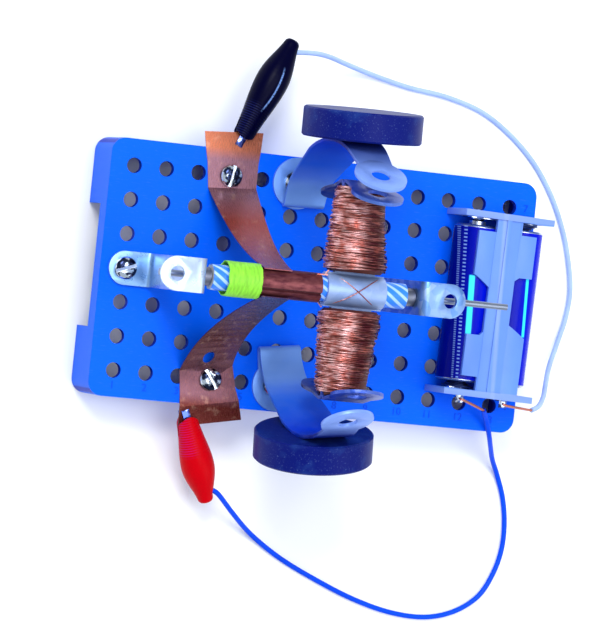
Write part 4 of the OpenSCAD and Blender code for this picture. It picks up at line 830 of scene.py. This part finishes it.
class MOTOR_OT_rotor(bpy.types.Operator):
    """Builds the rotor: axle, sleeve, steel strips, windings, commutator and tape"""

    bl_idname = "motor.rotor"
    bl_label = "Rotor"

    def execute(self, context):
        sizes, colours = motor_sizes(), motor_colours()
        rod = bright_steel("axle steel", linear(150, 160, 180), 0.25)
        dress("axle", "axle_rod", rod, ROTOR)
        dress("straw_sleeve", "sleeve", straw_finish(), ROTOR)
        dress("sleeve_plugs", "plugs", moulded("plug plastic", linear(205, 210, 215)), ROTOR)
        strap = tuple(colours.strap)

        def core_painted_reflection_and_shade(f, place):
            x, y, z = f.split(place)
            # painted reflection: bands by distance from the axle across y, pale near the middle and deep blue
            # at the lugs
            tone = f.stops(abs(y), MM, (5, linear(138, 164, 214)), (20, strap), (30, linear(24, 66, 176)))
            # painted shade: the strips turn dark navy below the axle
            return f.mix((AXLE_Z * MM - z).ramp(1 * MM, 6 * MM) * 0.85, tone, linear(6, 16, 84))
        steel = sheet_steel("core steel", core_painted_reflection_and_shade, (6, 1, 1), rough=0.34, metallic=0.3)
        for node in ("core_upper", "core_lower"):
            dress(node, f"{node}_strip", steel, ROTOR, edge=sizes.edge)
        # dark is the painted shade tone of the windings' +X side
        copper, dark = tuple(colours.copper), linear(66, 0, 22)
        enamel = copper_painted_light_and_shade("winding copper", copper, dark)
        core = Finish("winding shadow", metallic=0.4)
        grain = core.noise(core.where(), 1.0, 2)
        core = core.paint(core.mix(grain, linear(60, 20, 20), linear(96, 38, 30)), 0.6)
        for side, node, seed in ((1, "rear_coil", 4), (-1, "front_coil", 9)):
            inner = from_bmesh(cad_copy(node), "coil core")
            for vert in inner.vertices:
                x, z = vert.co.x - ROTOR_X * MM, vert.co.z - AXLE_Z * MM
                reach = math.hypot(x, z)
                if reach > 7.6 * MM:
                    shrink = max(0.0, reach - 1.35 * MM) / reach
                    vert.co.x, vert.co.z = x * shrink + ROTOR_X * MM, z * shrink + AXLE_Z * MM
            smooth(inner, 30)
            wires = wound(node + "_winding", winding_paths(seed), sizes.winding_wire * 0.46, enamel)
            if side < 0:
                wires.transform(Matrix.Diagonal((1, -1, 1, 1)))
                wires.flip_normals()
            as_piece(f"{node}_turns", wires, ROTOR, enamel, [node])
            as_piece(f"{node}_body", inner, ROTOR, core)
        # the loose wires get the same painted shade on their +X side
        bare = copper_painted_light_and_shade("loose copper", shade(copper, 1.15), linear(150, 70, 60))
        dress("coil_leads", "coil_lead_wires", bare, ROTOR)
        self.crossing(bare)
        foil = Finish("commutator foil", metallic=0.6, specular_ior_level=0.3)
        place = foil.where()
        rub = foil.noise(foil.stretched(place, 0.6, 1.4, 1.4), 2.0, 4)
        tone = foil.mix(rub.ramp(0.35, 0.7), linear(84, 34, 44), linear(132, 72, 74))
        material = foil.paint(tone, rub * 0.2 + 0.25, foil.bump(rub, 0.03, 0.3))
        for node in ("commutator_rear", "commutator_front"):
            dress(node, f"{node}_foil", material, ROTOR)
        self.tape(tuple(colours.tape))
        return {"FINISHED"}

    def crossing(self, material):
        """Two thin wires that cross over the saddle from coil to coil."""
        radius, spread = 4.95, 8.6
        paths = []
        for slant, lift in ((-1, 0.18), (1, 0.5)):
            paths.append([(ROTOR_X + slant * spread * i / 10, radius * math.sin(math.radians(7 * i)),
                           AXLE_Z + (radius + lift) * math.cos(math.radians(7 * i)) - 0.02 * i * i * 0.4)
                          for i in range(-8, 9)])
        wires = wound("crossing", paths, 0.17, material)
        as_piece("crossover_wire_pair", wires, ROTOR, material, ["crossover_wires"])

    def tape(self, rgb):
        """Bright tape wound in loose layers, with ragged edges."""
        low, high = (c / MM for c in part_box("insulating_tape"))
        x0, x1, outer = low.x, high.x, (high.y - low.y) / 2
        rng = random.Random(3)
        bm = bmesh.new()
        layers = ((x0, x1, outer - 0.02, 0.5), (x0 + 0.9, x1 - 0.3, outer, 0.7),
                  (x0 + 0.1, x1 - 1.4, outer - 0.1, 0.6))
        for start, end, radius, rag in layers:
            knots = [[rng.uniform(0, rag) for _ in range(24)] for _ in range(2)]
            rings = []
            for j in range(9):
                ring_verts = []
                for k in range(96):
                    a = math.tau * k / 96
                    u, v = divmod(k, 4)
                    cut = [q[u] + (q[(u + 1) % 24] - q[u]) * v / 4 for q in knots]
                    x = start + cut[0] + (end - cut[1] - start - cut[0]) * j / 8
                    r = radius - 0.07 * (1 + math.sin(3 * a + j * 0.7 + rag * 9)) / 2
                    ring_verts.append(bm.verts.new((x, r * math.cos(a), AXLE_Z + r * math.sin(a))))
                rings.append(ring_verts)
            inner = [[bm.verts.new((v.co.x, v.co.y * 0.93, AXLE_Z + (v.co.z - AXLE_Z) * 0.93)) for v in ends]
                     for ends in (rings[0], rings[-1])]
            rings = [inner[0], *rings, inner[1]]
            for a, b in zip(rings, rings[1:] + rings[:1]):
                for k in range(96):
                    bm.faces.new((a[k], a[(k + 1) % 96], b[(k + 1) % 96], b[k]))
        bmesh.ops.scale(bm, vec=(MM, MM, MM), verts=bm.verts)
        f = Finish("tape", specular_ior_level=0.2)
        place = f.where()
        wrinkle = f.noise(f.stretched(place, 3, 0.6, 0.6), 2.0, 4)
        tone = f.mix(wrinkle.ramp(0.35, 0.7), shade(rgb, 0.72), shade(rgb, 1.1))
        material = f.paint(tone, wrinkle * 0.2 + 0.3, f.bump(wrinkle, 0.12, 0.6))
        as_piece("tape_wrap", smooth(from_bmesh(bm, "tape", outward=True), 40), ROTOR, material,
                 ["insulating_tape"])


# ---- Magnets, straps and brushes ----


class MOTOR_OT_magnets(bpy.types.Operator):
    """Finishes the magnet straps and the ferrite magnets"""

    bl_idname = "motor.magnets"
    bl_label = "Magnets"

    def execute(self, context):
        strap = tuple(motor_colours().strap)
        # painted reflection and shade: the straps' colour changes in bands by height, pale low down, dark
        # navy near 44 mm and pale again at the top
        strap_painted_reflection_tones = (strap, linear(40, 110, 225), linear(0, 62, 215), linear(0, 20, 130),
                 linear(10, 40, 150), linear(126, 160, 238))
        marks = ((7, 18, 34, 44, 50, 63), (7, 16, 32, 44, 48, 57))
        for side, z in zip(("rear", "front"), marks):
            def tone(f, place, z=z):
                return f.stops(f.split(place)[2], MM, *zip(z, strap_painted_reflection_tones))
            steel = sheet_steel(f"{side} strap steel", tone, (1, 1, 5), contrast=0.02, rough=0.42,
                                metallic=0.35, cloudy=0.1)
            dress(f"{side}_magnet_strap", f"{side}_strap", steel, edge=motor_sizes().edge)
        f = Finish("ferrite", specular_ior_level=0.08)
        place = f.where()
        cloud, grit = f.noise(place, 7, 4), f.noise(place, 0.5, 3)
        rgb = tuple(motor_colours().magnet)
        tone = f.mix(cloud.ramp(0.5, 0.8) * 0.35, rgb, linear(52, 96, 170))
        tone = f.mix(grit.ramp(0.6, 0.8) * 0.3, tone, (0.2, 0.3, 0.6))
        ferrite = f.paint(tone, cloud * 0.25 + 0.28, f.bump(grit, 0.04, 0.5))
        for side in ("rear", "front"):
            dress(f"{side}_magnet", f"{side}_magnet_disc", ferrite, edge=0.12)
        return {"FINISHED"}


def foil_finish(name, k, rgb):
    """Soft copper sheet with painted light and shade by place: a bright outer tab, a dull hatched foot and an
    arm that darkens upwards; the front brush gets darker tones than the rear.
    """
    f = Finish(name, metallic=0.55, specular_ior_level=0.3)
    place = f.where()
    x, y, z = f.split(place)
    out = abs(y) - BRUSH_AT[1] * MM
    brushed = f.noise(f.stretched(place, 5, 0.7, 0.7), 1.2, 4)
    hatch = f.noise(f.stretched(place, 2.5, 9, 1), 1.6, 3)
    patch = f.noise(place, 3, 4)
    # painted light and shade: the rear brush gets brighter tones and the front brush darker tones of the same
    # copper
    rear = (linear(180, 102, 72), linear(134, 94, 108), linear(140, 50, 40), linear(150, 84, 92))
    front = (linear(100, 36, 30), linear(118, 76, 88), linear(78, 18, 24), linear(58, 40, 84))
    tab, foot, arm, tip = (rear, front)[k]
    # painted shade: the arm darkens upwards to its tip; painted light: the outer tab is brighter than the
    # foot
    tone = f.mix(z.ramp(3 * MM, 14 * MM), foot, arm)
    tone = f.mix(z.ramp(14 * MM, 42 * MM), tone, tip)
    tone = f.mix(out.ramp(5 * MM, 8.5 * MM), tone, tab)
    tone = f.mix(hatch.ramp(0.52, 0.66) * 0.5, tone, shade(rgb, 0.55))
    tone = f.mix(patch.ramp(0.58, 0.75) * 0.35, tone, linear(224, 176, 150))
    return f.paint(tone, brushed * 0.3 + 0.14, f.bump(brushed, 0.03, 0.5, f.bump(patch, 0.1, 0.4)))


class MOTOR_OT_brushes(bpy.types.Operator):
    """Finishes the two copper brushes"""

    bl_idname = "motor.brushes"
    bl_label = "Brushes"

    def execute(self, context):
        foil = tuple(motor_colours().foil)
        for k, side in enumerate(("rear", "front")):
            material = foil_finish(f"{side} brush foil", k, foil)
            dress(f"{side}_brush", f"{side}_brush_sheet", material, degrees=25)
        return {"FINISHED"}


# ---- Cells ----

HOLDER_TURN = math.radians(1.5)


def cell_finish(rgb, side):
    """Film around a cell: painted shade as a gradient around it, a painted highlight as a light cyan stripe
    where the window shows it, and fine printed marks.
    """
    f = Finish(f"wrapper film {side}", specular_ior_level=0.08)
    low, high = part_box(f"{side}_wrapper")
    middle = (low + high) / 2
    x, y, z = f.split(f.where())
    across = (x - middle.x) + (y - middle.y) * math.sin(HOLDER_TURN)
    # painted shade: the film darkens across the cell towards -X
    tone = f.mix(across.ramp(-6 * MM, 3 * MM), shade(rgb, 0.35), shade(rgb, 1.1))
    # painted highlight: a cyan stripe along the cell, drawn only where the window shows it
    glint_at, glint_width = (-1.9, 1.0) if side == "left" else (2.0, 0.6)
    painted_glint = 1.0 - abs(across - glint_at * MM).ramp(glint_width * 0.7 * MM, glint_width * MM)
    facing = 1.0 - abs(y - middle.y - (-0.6 if side == "left" else 0.6) * MM).above(9.4 * MM, 0.2 * MM)
    tone = f.mix(painted_glint * facing * 0.95, tone, linear(60, 235, 255))
    ticks = (((y - middle.y) / (1.15 * MM)) % 1.0).above(0.6, 0.05)
    ticks = ticks * (1.0 - abs(across + 4.3 * MM).ramp(0.3 * MM, 0.45 * MM))
    tone = f.mix(ticks * 0.5, tone, linear(150, 190, 255))
    rule = (((y - middle.y) / (0.7 * MM)) % 1.0).above(0.45, 0.05)
    rule = rule * (1.0 - abs(across + 5.6 * MM).ramp(0.2 * MM, 0.3 * MM))
    tone = f.mix(rule * 0.35, tone, linear(150, 190, 255))
    return f.paint(tone, 0.2)


class MOTOR_OT_cells(bpy.types.Operator):
    """Finishes the cells, their frosted holder and its contacts"""

    bl_idname = "motor.cells"
    bl_label = "Cells and holder"

    def execute(self, context):
        colours = motor_colours()
        rgb = tuple(colours.holder)
        f = Finish("holder plastic", transmission_weight=0.25, ior=1.46, specular_ior_level=0.25)
        place = f.where()
        frost, flow = f.noise(place, 0.5, 2), f.noise(place, 9, 2)
        tone = f.mix(flow, shade(rgb, 0.86), shade(rgb, 1.08))
        low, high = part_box("cell_holder")
        x, y, z = f.split(place)
        middle = (low + high) / 2
        across = (x - middle.x) + (y - middle.y) * math.sin(HOLDER_TURN)
        # painted highlight: a lighter line down the middle of the holder's back; painted light: the end walls
        # are painted lighter
        spine_painted_highlight = 1.0 - abs(across).ramp(0.4 * MM, 1.1 * MM)
        end = abs(y - middle.y).ramp(26.9 * MM, 27.1 * MM)
        tone = f.mix(spine_painted_highlight * 0.5, tone, linear(170, 196, 255))
        tone = f.mix(end * 0.6, tone, linear(150, 176, 248))
        holder = f.paint(tone, frost * 0.1 + 0.33, f.bump(frost, 0.02, 0.4))
        dress("cell_holder", "holder", holder, edge=0.15)
        tin = bright_steel("cell steel", linear(190, 200, 220), 0.2)
        # painted reflection in the contact plating
        plate = chrome_painted_reflection("contact steel", linear(60, 76, 120), linear(205, 215, 235))
        for side in ("left", "right"):
            film = cell_finish(tuple(colours.wrapper), side)
            dress(f"{side}_wrapper", f"{side}_film", film)
            dress(f"{side}_cell", f"{side}_cell_can", tin)
        for node in ("link_contact", "positive_contact", "negative_contact", "contact_rivets"):
            dress(node, f"{node}_metal", plate, edge=0.05)
        coil = bright_steel("dark spring", linear(70, 84, 130), 0.3)
        dress("contact_springs", "contact_spring_wires", coil)
        # the bare strands get painted shade on their +X side
        strands = copper_painted_light_and_shade("bare copper", linear(222, 150, 120), linear(190, 110, 90))
        dress("bare_lead_ends", "bare_strands", strands)
        return {"FINISHED"}


# ---- Clips ----


def rubber(name, rgb, k, rib_painted_light, shine):
    """Soft vinyl: fine ribs around the front half, tinted lighter on one side only as painted light, and a
    thin curved painted highlight along the belly.
    """
    f = Finish(name, specular_ior_level=0.04)
    place = f.where()
    here = clip_place(k)
    across, run = (
        f.node("ShaderNodeVectorMath", {"operation": "DOT_PRODUCT"}, {0: place, 1: along}, "Value")
        - along.dot(here.translation * MM) for along in (here.to_3x3() @ axis for axis in (X, Y)))
    wave = f.node("ShaderNodeMath", {"operation": "SINE"}, {0: run * (math.tau / (0.75 * MM))})
    front = 1.0 - run.ramp(13 * MM, 15 * MM)
    left = 1.0 - across.ramp(-2.5 * MM, 0.5 * MM)
    ribs = wave * front
    skin = f.noise(place, 0.6, 3)
    tone = f.mix(skin, shade(rgb, 0.85), shade(rgb, 1.1))
    # painted light: the ribs are tinted lighter only on one side of the clip, by the left mask
    tone = f.mix(ribs.ramp(0.1, 1.0) * left * 0.7, tone, rib_painted_light)
    # painted highlight: a thin curved shine along the belly
    middle = (run - 20 * MM) / (8 * MM)
    painted_shine = 1.0 - abs(across - 1.0 * MM + middle * middle * 0.9 * MM).ramp(0.12 * MM, 0.4 * MM)
    painted_shine = painted_shine * (1.0 - abs(middle).ramp(0.7, 1.0)) * skin.ramp(0.35, 0.5)
    tone = f.mix(painted_shine * shine, tone, linear(130, 170, 240))
    return f.paint(tone, skin * 0.15 + 0.25, f.bump(ribs, 0.06, 0.5, f.bump(skin, 0.02, 0.4)))


class MOTOR_OT_clips(bpy.types.Operator):
    """Finishes the two clips with their boots"""

    bl_idname = "motor.clips"
    bl_label = "Clips"

    def execute(self, context):
        colours = motor_colours()
        # painted reflection in the jaw plating
        steel = chrome_painted_reflection("jaw steel", linear(70, 90, 170), linear(190, 200, 225))
        dark = bright_steel("jaw spring", linear(90, 100, 130), 0.3)
        # each boot gets a painted light tone for its ribs and an amount of painted highlight along its belly
        boots = {"black": rubber("black rubber", tuple(colours.black_boot), 0, linear(30, 36, 96), 0.8),
                 "red": rubber("red rubber", tuple(colours.red_boot), 1, linear(190, 30, 120), 0.0)}
        for clip, boot in boots.items():
            dress(f"{clip}_boot", f"{clip}_boot_cover", boot, edge=0.15, degrees=45)
            dress(f"{clip}_lower_jaw", f"{clip}_lower_jaw_steel", steel, edge=0.06)
            dress(f"{clip}_upper_jaw", f"{clip}_upper_jaw_steel", steel, f"{clip}_jaw",
                  edge=0.06)
            dress(f"{clip}_pivot_pin", f"{clip}_pin", steel)
            dress(f"{clip}_jaw_spring", f"{clip}_spring", dark)
        return {"FINISHED"}


STEPS = ("stage", "board", "bearings", "fasteners", "rotor", "magnets", "brushes", "cells", "clips", "leads")


class MOTOR_PT_panel(bpy.types.Panel):
    """Sidebar panel with the sizes, the colours and one button for each group of pieces"""

    bl_label = "Motor"
    bl_idname = "MOTOR_PT_panel"
    bl_space_type = "VIEW_3D"
    bl_region_type = "UI"
    bl_category = "Motor"

    def draw(self, context):
        for group in (context.scene.motor_sizes, context.scene.motor_colours):
            box = self.layout.box()
            for label in group.__annotations__:
                box.prop(group, label)
        for step in STEPS:
            self.layout.operator(f"motor.{step}")


CLASSES = (MotorSizes, MotorColours, MOTOR_OT_stage, MOTOR_OT_board, MOTOR_OT_bearings, MOTOR_OT_fasteners,
           MOTOR_OT_rotor, MOTOR_OT_magnets, MOTOR_OT_brushes, MOTOR_OT_cells, MOTOR_OT_clips, MOTOR_OT_leads,
           MOTOR_PT_panel)


def register():
    for cls in CLASSES:
        bpy.utils.register_class(cls)
    bpy.types.Scene.motor_sizes = bpy.props.PointerProperty(type=MotorSizes)
    bpy.types.Scene.motor_colours = bpy.props.PointerProperty(type=MotorColours)


def unregister():
    del bpy.types.Scene.motor_sizes, bpy.types.Scene.motor_colours
    for cls in reversed(CLASSES):
        bpy.utils.unregister_class(cls)


def main():
    register()
    for step in STEPS:
        if getattr(bpy.ops.motor, step)() != {"FINISHED"}:
            raise RuntimeError(f"motor.{step} did not finish")


if __name__ == "__main__":
    main()
